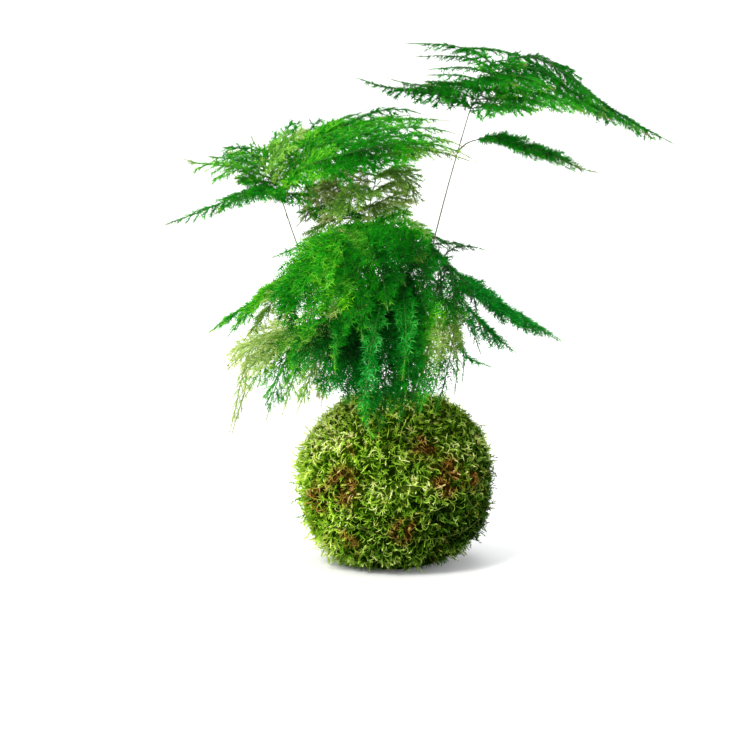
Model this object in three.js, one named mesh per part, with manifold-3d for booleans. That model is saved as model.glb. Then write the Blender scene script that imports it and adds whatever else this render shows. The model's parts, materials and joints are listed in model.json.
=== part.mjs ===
// Kokedama: a lace fern, Asparagus setaceus, rooted in a ball of soil that is wrapped in moss
// and bound with thread. Millimetres, +Z up. The origin is the middle of the flat spot under the
// ball, and the plant is seen from the front along +Y.
import * as THREE from 'three';
import { mergeVertices } from 'three/addons/utils/BufferGeometryUtils.js';
import Module from 'manifold-3d';

const wasm = await Module();
wasm.setup();

// Ball
const BALL_RADIUS = 60;
const BALL_CENTRE_HEIGHT = 54;
const BALL_RISE = 53;
const BALL_DROP = 57;
const ROUNDNESS_ABOVE = 2;
const ROUNDNESS_BELOW = 2.4;
const MOSS_THICKNESS = 7.5;
const MOSS_LUMP = 1.1;
const MOSS_RELIEF = 3.4;
const MOSS_ROWS = 25;
const MOSS_SIDES = 46;
const SOIL_ROWS = 11;
const SOIL_SIDES = 26;
const OPENING_RADIUS = 17;
const OPENING_FLARE = 20;
const SEAT_GAP = 0.3;

// Binding thread
const THREAD_WIDTH = 0.9;
const THREAD_HEIGHT = 0.8;
const THREAD_LIFT = 0.5;
const THREAD_PRESS = 1.9;
const PRESS_WIDTH = 8.5;
const THREAD_STEPS = 36;
// Each winding's lean from level, the compass angle it leans to, and its height above the middle.
const WINDINGS = [
    [34, 20, 4],
    [48, 128, 1],
    [40, 236, 6],
    [18, 305, -7],
];

// Stems and fronds
const STEM_FOOT_RADIUS = 0.95;
const STEM_TOP_RADIUS = 0.75;
const STEM_SIDES = 4;
const STEM_STEP = 24;
const SCALE_LENGTH = 3.8;
const SCALE_RADIUS = 0.45;
const SCALE_SPACING = 34;
const LIMB_ROOT_RADIUS = 1;
const LIMB_TIP_RADIUS = 0.7;
const LIMB_SIDES = 3;
const LIMB_STEP = 19;
const FROND_LEAD = 3;
const BRANCHLET_SPACING = 2.8;
const BRANCHLET_EVERY = 3;
const BRANCHLET_SHORTEST = 3.4;
const BRANCHLET_RADIUS = 0.42;
const SHORTENED = 0.6;
const NEEDLE_LENGTH = 4.2;
const NEEDLE_RADIUS = 0.4;
const NEEDLE_SPACING = 19;
const NEEDLE_LEAN = 0.95;
const GOLDEN_ANGLE = 2.39996;
const CLEARANCE = 0.5;
const MOSS_CLEARANCE = 3;
const DROOP = 0.1;

// Each frond: the points of its stem, the way its upper side faces, and its limbs. A limb has
// the reach of its branchlets to either side, then the points that it runs through.
const PLANT = [
    {
        name: 'upper_right',
        stem: [
            [4, 1, 88], [4, 2, 100], [6, 4, 118], [12, 8, 148], [20, 12, 184], [31, 16, 227],
            [43, 18, 269],
        ],
        face: [0.12, -0.55, 0.83],
        limbs: [
            [9, [[43, 18, 269], [52, 19, 283], [61, 20, 295]]],
            [27, [[61, 20, 295], [76, 22, 302], [97, 26, 298], [116, 30, 285], [141, 34, 268],
                [173, 38, 249]]],
            [13, [[61, 20, 295], [48, 33, 307], [29, 46, 312], [4, 56, 313]]],
            [5, [[59, 20, 292], [42, 32, 300], [19, 44, 297]]],
            [11, [[52, 19, 283], [32, 4, 289], [15, -10, 292]]],
            [15, [[45, 18, 272], [28, 2, 280], [7, -14, 284], [-10, -26, 286], [-28, -34, 292]]],
            [18, [[52, 19, 283], [80, 2, 283], [97, -6, 277], [110, -12, 269]]],
            [14, [[45, 18, 272], [62, 0, 275], [84, -14, 271]]],
            [12, [[90, 25, 299], [107, 14, 290], [117, 10, 279], [126, 6, 267]]],
        ],
    },
    {
        name: 'upper_right_low',
        sideStalkOf: 'upper_right',
        stem: [[36.6, 17.1, 247], [42, 12, 252], [48, 8, 254]],
        face: [0.15, -0.5, 0.86],
        limbs: [
            [9, [[48, 8, 254], [60, 4, 255], [77, 0, 250], [94, -4, 245], [106, -8, 238],
                [118, -12, 235]]],
        ],
    },
    {
        name: 'upper_left',
        stem: [
            [-5, 1, 88], [-6, 2, 100], [-12, 4, 114], [-30, 7, 136], [-46, 9, 161], [-59, 10, 190],
            [-69, 11, 219],
        ],
        face: [-0.1, -0.55, 0.83],
        limbs: [
            [7, [[-69, 11, 219], [-78, 12, 238], [-88, 13, 258]]],
            [16, [[-72, 11, 227], [-88, -4, 225], [-104, -16, 218], [-122, -24, 211],
                [-139, -30, 204]]],
            [12, [[-74, 12, 231], [-91, 3, 237], [-106, 8, 239], [-118, 10, 240],
                [-129, 12, 243]]],
            [11, [[-78, 12, 239], [-92, 24, 248], [-107, 36, 249]]],
            [16, [[-79, 12, 241], [-65, 26, 255], [-41, 38, 263], [-16, 48, 272]]],
            [16, [[-76, 12, 234], [-53, 15, 252], [-22, 21, 262], [8, 29, 266], [34, 36, 265]]],
            [18, [[-71, 11, 223], [-58, -8, 237], [-31, -20, 246], [-4, -26, 253], [19, -28, 256],
                [35, -28, 251], [47, -28, 244]]],
            [12, [[-70, 11, 221], [-76, -14, 226], [-73, -32, 219]]],
        ],
    },
    {
        name: 'middle_high',
        stem: [
            [-1, 5, 88], [-1, 6, 100], [-2, 9, 116], [-7, 16, 142], [-13, 26, 173], [-17, 32, 200],
        ],
        face: [0.1, -0.4, 0.9],
        limbs: [
            [8, [[-17, 32, 200], [-15, 34, 220], [-10, 36, 238]]],
            [12, [[-10, 36, 238], [6, 40, 243], [23, 44, 242]]],
            [13, [[-12, 35, 231], [0, 27, 237], [13, 20, 237]]],
            [13, [[-15, 34, 220], [3, 46, 226], [22, 56, 224]]],
            [15, [[-13, 34, 228], [-31, 26, 229], [-47, 22, 220], [-61, 22, 205]]],
            [15, [[-11, 36, 236], [-28, 46, 241], [-46, 56, 233], [-58, 62, 222]]],
            [13, [[-16, 33, 213], [0, 23, 219], [14, 14, 217]]],
            [12, [[-17, 32, 206], [0, 38, 211], [17, 40, 209]]],
            [13, [[-17, 32, 206], [-34, 34, 211], [-50, 40, 203]]],
        ],
    },
    {
        name: 'middle_low',
        stem: [[4, 9, 88], [4, 10, 100], [5, 13, 114], [4, 24, 138], [3, 38, 166], [3, 47, 184]],
        face: [0.1, -0.35, 0.93],
        limbs: [
            [12, [[3, 47, 184], [5, 52, 192], [9, 61, 197], [16, 76, 195], [22, 90, 185]]],
            [12, [[3, 48, 187], [-18, 58, 200], [-38, 70, 197], [-52, 80, 184]]],
            [11, [[3, 48, 187], [-6, 68, 198], [-10, 88, 196], [-12, 106, 184]]],
            [10, [[3, 47, 184], [22, 52, 195], [38, 58, 196], [50, 64, 189]]],
        ],
    },
    {
        name: 'front_left',
        stem: [
            [-6, -5, 88], [-7, -6, 100], [-10, -9, 116], [-18, -18, 148], [-22, -27, 178],
            [-21, -35, 199],
        ],
        face: [-0.35, -0.55, 0.75],
        limbs: [
            [10, [[-21, -35, 199], [-26, -45, 206], [-34, -56, 204]]],
            [20, [[-34, -56, 204], [-47, -67, 194], [-57, -77, 177], [-63, -84, 158]]],
            [16, [[-23, -40, 203], [-8, -48, 206], [6, -54, 199], [14, -60, 186]]],
            [18, [[-30, -51, 206], [-32, -67, 194], [-34, -81, 176], [-38, -90, 156]]],
            [16, [[-23, -38, 203], [-40, -40, 204], [-55, -44, 192], [-64, -50, 174]]],
            [16, [[-26, -45, 206], [-16, -63, 196], [-9, -77, 180], [-6, -87, 162]]],
        ],
    },
    {
        name: 'front_centre',
        stem: [[1, -7, 88], [1, -8, 100], [1, -11, 114], [1, -18, 136], [3, -26, 158], [5, -31, 172]],
        face: [0, -0.8, 0.6],
        limbs: [
            [9, [[5, -31, 172], [4, -39, 178], [2, -48, 174]]],
            [14, [[2, -48, 174], [-2, -60, 156], [-6, -68, 132], [-9, -71, 108], [-11, -72, 90]]],
            [13, [[4, -39, 178], [14, -54, 164], [17, -62, 144], [15, -68, 120], [12, -70, 100]]],
            [14, [[4, -38, 177], [-14, -48, 168], [-26, -60, 148], [-32, -68, 124]]],
        ],
    },
    {
        name: 'front_right',
        stem: [
            [7, -6, 88], [8, -7, 100], [11, -9, 114], [17, -13, 138], [22, -17, 162],
            [25, -21, 180],
        ],
        face: [0.35, -0.6, 0.7],
        limbs: [
            [9, [[25, -21, 180], [27, -27, 187], [29, -36, 184]]],
            [13, [[29, -36, 184], [32, -50, 168], [31, -62, 144], [26, -70, 120], [20, -72, 100]]],
            [12, [[26, -24, 184], [36, -32, 179], [41, -40, 162], [40, -47, 140]]],
            [11, [[26, -25, 185], [15, -34, 187], [10, -42, 181]]],
        ],
    },
    {
        name: 'left_back',
        stem: [
            [-9, 6, 88], [-10, 7, 100], [-14, 11, 113], [-28, 22, 134], [-43, 32, 156],
            [-56, 40, 170],
        ],
        face: [-0.4, -0.3, 0.85],
        limbs: [
            [12, [[-56, 40, 170], [-70, 43, 170], [-85, 46, 161], [-103, 53, 147],
                [-120, 59, 131]]],
            [9, [[-61, 41, 170], [-76, 36, 164], [-90, 31, 150], [-105, 26, 132]]],
            [10, [[-58, 41, 170], [-74, 56, 166], [-88, 70, 152]]],
        ],
    },
    {
        name: 'left_low',
        stem: [
            [-10, 0, 88], [-11, 0, 100], [-15, 0, 112], [-29, -2, 128], [-41, -5, 140],
            [-50, -8, 144],
        ],
        face: [-0.5, -0.55, 0.65],
        limbs: [
            [16, [[-50, -8, 144], [-68, -14, 142], [-87, -20, 132], [-101, -26, 119]]],
            [14, [[-52, -9, 144], [-72, 4, 141], [-90, 12, 132], [-107, 18, 121]]],
            [13, [[-54, -10, 144], [-62, -30, 134], [-70, -42, 114], [-76, -48, 93]]],
            [5, [[-86, -20, 132], [-92, -25, 112], [-95, -28, 97], [-99, -30, 82]]],
            [12, [[-50, -8, 144], [-47, -30, 138], [-51, -48, 118], [-58, -58, 99]]],
        ],
    },
    {
        name: 'right_back',
        stem: [[9, 6, 88], [10, 7, 100], [13, 11, 113], [22, 19, 134], [31, 27, 154], [34, 29, 158]],
        face: [0.35, -0.45, 0.8],
        limbs: [
            [18, [[34, 29, 158], [39, 33, 164], [50, 38, 163], [66, 44, 151], [84, 50, 140],
                [104, 56, 127]]],
            [13, [[36, 31, 161], [44, 25, 154], [56, 20, 141], [74, 17, 125]]],
            [8, [[34, 29, 158], [37, 38, 143], [45, 47, 124], [61, 56, 111]]],
            [10, [[38, 32, 163], [44, 52, 170], [52, 70, 162], [58, 86, 146]]],
        ],
    },
    {
        name: 'right_high',
        stem: [[10, 1, 88], [11, 2, 100], [15, 4, 114], [22, 6, 142], [26, 7, 165], [27, 7, 177]],
        face: [0.15, -0.5, 0.85],
        limbs: [
            [9, [[27, 7, 177], [28, 7, 186], [34, 5, 193], [44, 2, 194], [53, 0, 188]]],
            [12, [[27, 7, 180], [38, -2, 180], [47, -10, 166], [50, -16, 148]]],
            [11, [[27, 7, 182], [38, 16, 184], [46, 24, 178], [51, 32, 166]]],
        ],
    },
    {
        name: 'right_low',
        stem: [
            [10, -4, 88], [11, -5, 100], [14, -7, 112], [20, -10, 130], [25, -14, 145],
            [27, -17, 150],
        ],
        face: [0.6, -0.6, 0.5],
        limbs: [
            [13, [[27, -17, 150], [34, -24, 141], [37, -30, 124], [35, -36, 107]]],
            [12, [[27, -17, 150], [38, -12, 142], [43, -6, 126], [42, -2, 108]]],
            [11, [[27, -17, 150], [27, -34, 142], [24, -48, 124], [18, -57, 106]]],
        ],
    },
    {
        name: 'back',
        stem: [[0, 10, 88], [0, 12, 100], [1, 16, 112], [6, 32, 134], [12, 47, 151], [14, 56, 156]],
        face: [0.1, 0.3, 0.95],
        limbs: [
            [16, [[14, 56, 156], [18, 74, 154], [20, 92, 140], [22, 106, 120]]],
            [14, [[14, 56, 156], [34, 66, 150], [48, 78, 134], [56, 88, 114]]],
            [14, [[14, 56, 156], [-4, 70, 152], [-18, 86, 138], [-26, 98, 118]]],
        ],
    },
    {
        name: 'back_left',
        stem: [
            [-5, 9, 88], [-6, 11, 100], [-8, 15, 112], [-18, 29, 128], [-28, 41, 140],
            [-34, 46, 143],
        ],
        face: [-0.4, 0.3, 0.85],
        limbs: [
            [15, [[-34, 46, 143], [-48, 56, 137], [-60, 66, 120], [-68, 74, 101]]],
            [13, [[-34, 46, 143], [-34, 62, 136], [-36, 76, 120], [-38, 86, 101]]],
            [11, [[-34, 46, 143], [-52, 44, 137], [-66, 44, 120], [-76, 46, 103]]],
        ],
    },
];

const MOSS_MATERIAL = new THREE.MeshStandardMaterial({ color: 0x6f8a3a, roughness: 0.95, metalness: 0 });
const SOIL_MATERIAL = new THREE.MeshStandardMaterial({ color: 0x3b2a1d, roughness: 1, metalness: 0 });
const THREAD_MATERIAL = new THREE.MeshStandardMaterial({ color: 0x4c5a2f, roughness: 0.7, metalness: 0 });
const STEM_MATERIAL = new THREE.MeshStandardMaterial({ color: 0x6b6a34, roughness: 0.6, metalness: 0 });
const FROND_MATERIAL = new THREE.MeshStandardMaterial({ color: 0x3f9a34, roughness: 0.55, metalness: 0 });

const UP = new THREE.Vector3(0, 0, 1);
const BALL_CENTRE = new THREE.Vector3(0, 0, BALL_CENTRE_HEIGHT);

const vector = ([x, y, z]) => new THREE.Vector3(x, y, z);

// A steady draw between 0 and 1 for three whole numbers.
function draw(a, b = 0, c = 0) {
    const wave = Math.sin(12.9898 * a + 78.233 * b + 37.719 * c + 1.7) * 43758.5453;
    return wave - Math.floor(wave);
}

function toSolid(geometry) {
    const bare = geometry.clone();
    bare.deleteAttribute('normal');
    bare.deleteAttribute('uv');
    const welded = mergeVertices(bare);
    const corners = Array.from(welded.index.array);
    const faces = [];
    for (let i = 0; i < corners.length; i += 3) {
        const face = corners.slice(i, i + 3);
        if (new Set(face).size === 3) faces.push(...face);
    }
    return new wasm.Manifold(new wasm.Mesh({
        numProp: 3,
        vertProperties: new Float32Array(welded.attributes.position.array),
        triVerts: new Uint32Array(faces),
    }));
}

function toMesh(name, solid, material) {
    const { vertProperties, triVerts } = solid.getMesh();
    const geometry = new THREE.BufferGeometry();
    geometry.setAttribute('position', new THREE.BufferAttribute(vertProperties, 3));
    geometry.setIndex(new THREE.BufferAttribute(triVerts, 1));
    geometry.computeVertexNormals();
    const mesh = new THREE.Mesh(geometry, material);
    mesh.name = name;
    return mesh;
}

const fuse = (solids) => solids.reduce((whole, next) => whole.add(next));

// Distance from the ball's centre to the moss's smooth outside, toward a unit direction.
function ballRadius(direction) {
    const level = Math.hypot(direction.x, direction.y) / BALL_RADIUS;
    const above = direction.z > 0;
    const upright = Math.abs(direction.z) / (above ? BALL_RISE : BALL_DROP);
    const power = above ? ROUNDNESS_ABOVE : ROUNDNESS_BELOW;
    const round = (level ** power + upright ** power) ** (-1 / power);
    const lump = Math.sin(4.1 * direction.x + 0.6) * Math.cos(3.7 * direction.z - 0.4)
        + 0.6 * Math.sin(5.2 * direction.y + 2.9 * direction.z);
    return round + MOSS_LUMP * lump;
}

// How far a point toward a direction lies from the plane of a winding.
function distanceFromWinding(direction, [lean, compass, height]) {
    const axis = new THREE.Vector3(0, 0, 1)
        .applyAxisAngle(new THREE.Vector3(1, 0, 0), THREE.MathUtils.degToRad(lean))
        .applyAxisAngle(UP, THREE.MathUtils.degToRad(compass));
    return Math.abs(direction.dot(axis) * ballRadius(direction) - height);
}

// Depth of the moss's hollows below that outside: ripples between its tufts, and a shallow valley
// pressed in along each winding. Both fade out toward the flat spot.
function tuftDepth(direction) {
    const { x, y, z } = direction;
    const ripple = Math.sin(23 * x + 9 * y - 4) + Math.sin(-13 * x + 21 * z + 2)
        + Math.sin(19 * y + 15 * z + 1) + Math.sin(12 * x - 23 * y + 8 * z);
    const grain = Math.sin(53 * x + 31 * y + 17 * z) * Math.cos(29 * x - 47 * y + 37 * z);
    const tufts = MOSS_RELIEF * (0.5 - ripple / 8 - grain / 4);
    const nearest = Math.min(...WINDINGS.map((winding) => distanceFromWinding(direction, winding)));
    const pressed = THREAD_PRESS * (1 - THREE.MathUtils.smoothstep(nearest, PRESS_WIDTH, 2 * PRESS_WIDTH));
    const overFlat = THREE.MathUtils.smoothstep(-z, 0.84, 0.92);
    return Math.max(tufts, pressed, 0) * (1 - overFlat);
}

// A ball whose rows and sides are pushed to the distance that reach gives for each direction.
function shapedBall(rows, sides, reach) {
    const profile = [];
    for (let row = 0; row <= rows; row += 1) {
        const angle = Math.PI * (row / rows - 0.5);
        const onAxis = row === 0 || row === rows;
        profile.push(new THREE.Vector2(onAxis ? 0 : Math.cos(angle), Math.sin(angle)));
    }
    const geometry = new THREE.LatheGeometry(profile, sides).rotateX(Math.PI / 2);
    const place = geometry.attributes.position;
    for (let i = 0; i < place.count; i += 1) {
        const direction = new THREE.Vector3().fromBufferAttribute(place, i).normalize();
        const point = direction.clone().multiplyScalar(reach(direction)).add(BALL_CENTRE);
        place.setXYZ(i, point.x, point.y, Math.max(point.z, 0));
    }
    return toSolid(geometry);
}

// A tube along points, narrowing evenly from one radius to the other.
function taperedTube(path, steps, sides, startRadius, endRadius) {
    const small = 0.01;
    const outline = new THREE.Shape();
    for (let side = 0; side < sides; side += 1) {
        const angle = 2 * Math.PI * side / sides;
        const corner = new THREE.Vector2(Math.cos(angle), Math.sin(angle)).multiplyScalar(small);
        if (side === 0) outline.moveTo(corner.x, corner.y);
        else outline.lineTo(corner.x, corner.y);
    }
    outline.closePath();
    const options = { steps, extrudePath: path, bevelEnabled: false, curveSegments: 1 };
    const geometry = new THREE.ExtrudeGeometry(outline, options);
    const middles = path.getSpacedPoints(steps);
    const place = geometry.attributes.position;
    for (let i = 0; i < place.count; i += 1) {
        const point = new THREE.Vector3().fromBufferAttribute(place, i);
        const gaps = middles.map((middle) => middle.distanceTo(point));
        const step = gaps.indexOf(Math.min(...gaps));
        const radius = THREE.MathUtils.lerp(startRadius, endRadius, step / steps);
        point.sub(middles[step]).multiplyScalar(radius / small).add(middles[step]);
        place.setXYZ(i, point.x, point.y, point.z);
    }
    return toSolid(geometry);
}

// A three-sided spike from root along a unit direction.
function spike({ root, direction, length, radius }) {
    const geometry = new THREE.ConeGeometry(radius, length, 3).translate(0, length / 2, 0);
    const turn = new THREE.Quaternion().setFromUnitVectors(new THREE.Vector3(0, 1, 0), direction);
    geometry.applyQuaternion(turn).translate(root.x, root.y, root.z);
    return toSolid(geometry);
}

function smoothPath(points) {
    return new THREE.CatmullRomCurve3(points, false, 'catmullrom', 0.5);
}

// The middle line of a tube: its straight pieces and how far along each one starts.
function middleLine(points, stepLength) {
    const path = smoothPath(points);
    const steps = Math.max(2, Math.round(path.getLength() / stepLength));
    const nodes = path.getSpacedPoints(steps);
    const starts = [0];
    for (let i = 1; i < nodes.length; i += 1) {
        starts.push(starts[i - 1] + nodes[i].distanceTo(nodes[i - 1]));
    }
    return { path, steps, nodes, starts, length: starts[steps] };
}

function alongLine(line, distance) {
    let i = 0;
    while (i < line.steps - 1 && line.starts[i + 1] < distance) i += 1;
    const piece = line.nodes[i + 1].clone().sub(line.nodes[i]);
    const share = (distance - line.starts[i]) / piece.length();
    const point = line.nodes[i].clone().addScaledVector(piece, share);
    return { point, direction: piece.normalize() };
}

function nearestOnLines(point, lines) {
    let best = lines[0].nodes[0];
    for (const line of lines) {
        for (let i = 0; i < line.steps; i += 1) {
            const piece = new THREE.Line3(line.nodes[i], line.nodes[i + 1]);
            const near = piece.closestPointToPoint(point, true, new THREE.Vector3());
            if (near.distanceTo(point) < best.distanceTo(point)) best = near;
        }
    }
    return best;
}

// Closest distance between two straight pieces.
function pieceDistance(a, b) {
    const u = a.end.clone().sub(a.start);
    const v = b.end.clone().sub(b.start);
    const w = a.start.clone().sub(b.start);
    const [uu, uv, vv, uw, vw] = [u.dot(u), u.dot(v), v.dot(v), u.dot(w), v.dot(w)];
    const spread = uu * vv - uv * uv;
    let s = spread > 1e-9 ? THREE.MathUtils.clamp((uv * vw - vv * uw) / spread, 0, 1) : 0;
    const t = THREE.MathUtils.clamp((uv * s + vw) / vv, 0, 1);
    s = THREE.MathUtils.clamp((uv * t - uw) / uu, 0, 1);
    return w.addScaledVector(u, s).addScaledVector(v, -t).length();
}

// Everything placed so far, as straight pieces with a radius and the frond that they belong to.
const placed = [];

function keep(owner, start, end, radius) {
    const middle = start.clone().lerp(end, 0.5);
    placed.push({ owner, start, end, radius, middle, half: start.distanceTo(end) / 2 });
}

function keepLine(owner, line, radius) {
    for (let i = 0; i < line.steps; i += 1) {
        keep(owner, line.nodes[i], line.nodes[i + 1], radius);
    }
}

function isClear(owner, start, end, radius) {
    const fromBall = end.clone().sub(BALL_CENTRE);
    const distance = fromBall.length();
    if (distance < ballRadius(fromBall.normalize()) + MOSS_CLEARANCE) return false;
    const middle = start.clone().lerp(end, 0.5);
    const half = start.distanceTo(end) / 2;
    return placed.every((other) => {
        if (other.owner === owner) return true;
        const wanted = radius + other.radius + CLEARANCE;
        if (middle.distanceTo(other.middle) > half + other.half + wanted) return true;
        return pieceDistance({ start, end }, other) > wanted;
    });
}

// How far branchlets reach at each share of a limb, as a part of the limb's widest reach.
function reachAlong(share) {
    const rise = Math.min(1, 0.45 + 2.6 * share);
    const fall = share > 0.2 ? Math.max(0, 1 - ((share - 0.2) / 0.72) ** 2) : 1;
    return rise * fall ** 0.8;
}

// The spikes of one frond: branchlets to both sides of its limbs, and needles around them.
function growFrond(frond, key, lines) {
    const face = vector(frond.face).normalize();
    const spikes = [];
    const grow = (root, direction, length, radius) => {
        const end = root.clone().addScaledVector(direction, length);
        if (!isClear(frond.name, root, end, radius)) return false;
        spikes.push({ root, direction, length, radius });
        keep(frond.name, root, end, radius);
        return true;
    };
    lines.forEach((line, limb) => {
        const widest = frond.limbs[limb][0];
        const count = Math.floor(line.length / BRANCHLET_SPACING);
        for (let i = 1; i < count; i += BRANCHLET_EVERY) {
            const jitter = 0.5 * (draw(key, limb, i) - 0.5);
            const distance = (i + 0.5 + jitter) * line.length / count;
            const share = distance / line.length;
            const { point, direction: forward } = alongLine(line, distance);
            const side = face.clone().cross(forward).normalize().multiplyScalar(i % 2 ? 1 : -1);
            const lean = 0.95 - 0.35 * share + 0.25 * (draw(key + 3, limb, i) - 0.5);
            const out = forward.clone().multiplyScalar(Math.cos(lean))
                .addScaledVector(side, Math.sin(lean))
                .addScaledVector(face, 0.25 * (draw(key + 5, limb, i) - 0.4))
                .addScaledVector(UP, -DROOP)
                .normalize();
            const reach = widest * reachAlong(share) * (0.8 + 0.4 * draw(key + 7, limb, i));
            if (reach < BRANCHLET_SHORTEST) continue;
            const fits = grow(point, out, reach, BRANCHLET_RADIUS);
            if (!fits) grow(point, out, SHORTENED * reach, BRANCHLET_RADIUS);
        }
        growNeedles(line, grow, key + limb);
    });
    return spikes;
}

// Needles around a limb, each turned on from the one before.
function growNeedles(line, grow, turn) {
    const count = Math.round(line.length / NEEDLE_SPACING);
    for (let i = 1; i <= count; i += 1) {
        const { point, direction } = alongLine(line, line.length * (i / (count + 0.3)));
        const sideways = direction.clone().cross(UP).normalize()
            .applyAxisAngle(direction, turn + i * GOLDEN_ANGLE);
        const out = direction.clone().multiplyScalar(Math.cos(NEEDLE_LEAN))
            .addScaledVector(sideways, Math.sin(NEEDLE_LEAN));
        grow(point, out, NEEDLE_LENGTH, NEEDLE_RADIUS);
    }
}

// A stem with small scales at its nodes, pressed upward along it.
function makeStem(line, key) {
    const pieces = [taperedTube(line.path, line.steps, STEM_SIDES, STEM_FOOT_RADIUS, STEM_TOP_RADIUS)];
    const last = line.length - SCALE_LENGTH;
    for (let distance = SCALE_SPACING; distance < last; distance += SCALE_SPACING) {
        const { point, direction } = alongLine(line, distance);
        const sideways = direction.clone().cross(UP).normalize()
            .applyAxisAngle(direction, key + distance * GOLDEN_ANGLE);
        const out = direction.clone().addScaledVector(sideways, 0.55).normalize();
        pieces.push(spike({ root: point, direction: out, length: SCALE_LENGTH, radius: SCALE_RADIUS }));
    }
    return fuse(pieces);
}

function makeFrond(frond, lines, spikes) {
    const limbs = lines.map((line) => taperedTube(
        line.path, line.steps, LIMB_SIDES, LIMB_ROOT_RADIUS, LIMB_TIP_RADIUS));
    return fuse([...limbs, ...spikes.map(spike)]);
}

function makeSoil(stemLines) {
    const soil = shapedBall(SOIL_ROWS, SOIL_SIDES, (way) => ballRadius(way) - MOSS_THICKNESS);
    const holes = stemLines.map((line) => {
        const [foot, next] = line.nodes;
        const rise = next.clone().sub(foot).normalize();
        const start = foot.clone().addScaledVector(rise, -SEAT_GAP);
        const end = foot.clone().addScaledVector(rise, 0.95 * next.distanceTo(foot));
        const middle = new THREE.LineCurve3(start, end);
        const radius = STEM_FOOT_RADIUS + SEAT_GAP * Math.SQRT2;
        return taperedTube(middle, 1, STEM_SIDES, radius, radius);
    });
    return soil.subtract(fuse(holes));
}

function makeMoss() {
    const outside = shapedBall(MOSS_ROWS, MOSS_SIDES, (way) => ballRadius(way) - tuftDepth(way));
    const hollow = shapedBall(SOIL_ROWS, SOIL_SIDES, (way) => ballRadius(way) - MOSS_THICKNESS + SEAT_GAP);
    const openingHeight = 2 * MOSS_THICKNESS + BALL_RISE / 3;
    const opening = new THREE.CylinderGeometry(OPENING_FLARE, OPENING_RADIUS, openingHeight, 24)
        .rotateX(Math.PI / 2)
        .translate(0, 0, BALL_CENTRE_HEIGHT + BALL_RISE);
    return outside.subtract(hollow).subtract(toSolid(opening));
}

// One winding: a thin ring, leaned over and drawn in to lie just above the moss.
function makeWinding([lean, compass, height]) {
    const halfWidth = THREAD_WIDTH / 2;
    const outline = [
        [BALL_RADIUS, -halfWidth],
        [BALL_RADIUS + THREAD_HEIGHT, 0],
        [BALL_RADIUS, halfWidth],
        [BALL_RADIUS, -halfWidth],
    ];
    const profile = outline.map(([radius, rise]) => new THREE.Vector2(radius, rise));
    const geometry = new THREE.LatheGeometry(profile, THREAD_STEPS)
        .rotateX(Math.PI / 2)
        .translate(0, 0, height)
        .rotateX(THREE.MathUtils.degToRad(lean))
        .rotateZ(THREE.MathUtils.degToRad(compass));
    const place = geometry.attributes.position;
    const inner = Math.hypot(BALL_RADIUS, height);
    for (let i = 0; i < place.count; i += 1) {
        const point = new THREE.Vector3().fromBufferAttribute(place, i);
        const above = point.length() - inner;
        const direction = point.clone().normalize();
        const reach = ballRadius(direction) - THREAD_PRESS + THREAD_LIFT + above;
        const set = direction.multiplyScalar(reach).add(BALL_CENTRE);
        place.setXYZ(i, set.x, set.y, set.z);
    }
    return toSolid(geometry);
}

// The points of a frond's first limb, which carries straight on from the end of its stem.
function firstRoute(points, stemPoints) {
    const [before, end] = stemPoints.slice(-2);
    const onward = end.clone().sub(before).normalize();
    const start = end.clone().addScaledVector(onward, SEAT_GAP);
    return [start, end.clone().addScaledVector(onward, FROND_LEAD), ...points.slice(1)];
}

// Where a later limb leaves the earlier ones, a little way above the end of the stem.
function forkPoint(point, lines) {
    const fork = nearestOnLines(point, lines);
    if (fork.distanceTo(lines[0].nodes[0]) < FROND_LEAD) return alongLine(lines[0], FROND_LEAD).point;
    return fork.clone();
}

const stemLines = new Map();
const limbLines = new Map();
for (const frond of PLANT) {
    const stemPoints = frond.stem.map(vector);
    if (frond.sideStalkOf) {
        stemPoints[0] = nearestOnLines(stemPoints[0], [stemLines.get(frond.sideStalkOf)]).clone();
    }
    const stem = middleLine(stemPoints, STEM_STEP);
    stemLines.set(frond.name, stem);
    keepLine(frond.sideStalkOf ?? frond.name, stem, STEM_FOOT_RADIUS);
    const lines = [];
    frond.limbs.forEach(([, points], limb) => {
        const route = points.map(vector);
        if (limb > 0) route[0] = forkPoint(route[0], lines);
        lines.push(middleLine(limb > 0 ? route : firstRoute(route, stemPoints), LIMB_STEP));
    });
    limbLines.set(frond.name, lines);
    lines.forEach((line) => keepLine(frond.name, line, LIMB_ROOT_RADIUS));
}

const kokedama = new THREE.Group();
const rooted = PLANT.filter((frond) => !frond.sideStalkOf);
kokedama.add(toMesh('moss_wrap', makeMoss(), MOSS_MATERIAL));
kokedama.add(toMesh('soil_core', makeSoil(rooted.map(({ name }) => stemLines.get(name))), SOIL_MATERIAL));
kokedama.add(toMesh('binding_thread', fuse(WINDINGS.map(makeWinding)), THREAD_MATERIAL));
rooted.forEach(({ name }, key) => {
    const stalks = PLANT.filter((frond) => frond.sideStalkOf === name);
    const lines = [name, ...stalks.map((frond) => frond.name)].map((each) => stemLines.get(each));
    kokedama.add(toMesh(`stem_${name}`, fuse(lines.map((line) => makeStem(line, key))), STEM_MATERIAL));
});
PLANT.forEach((frond, index) => {
    const lines = limbLines.get(frond.name);
    const spikes = growFrond(frond, index + 1, lines);
    kokedama.add(toMesh(`frond_${frond.name}`, makeFrond(frond, lines, spikes), FROND_MATERIAL));
});

export default kokedama;
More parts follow.
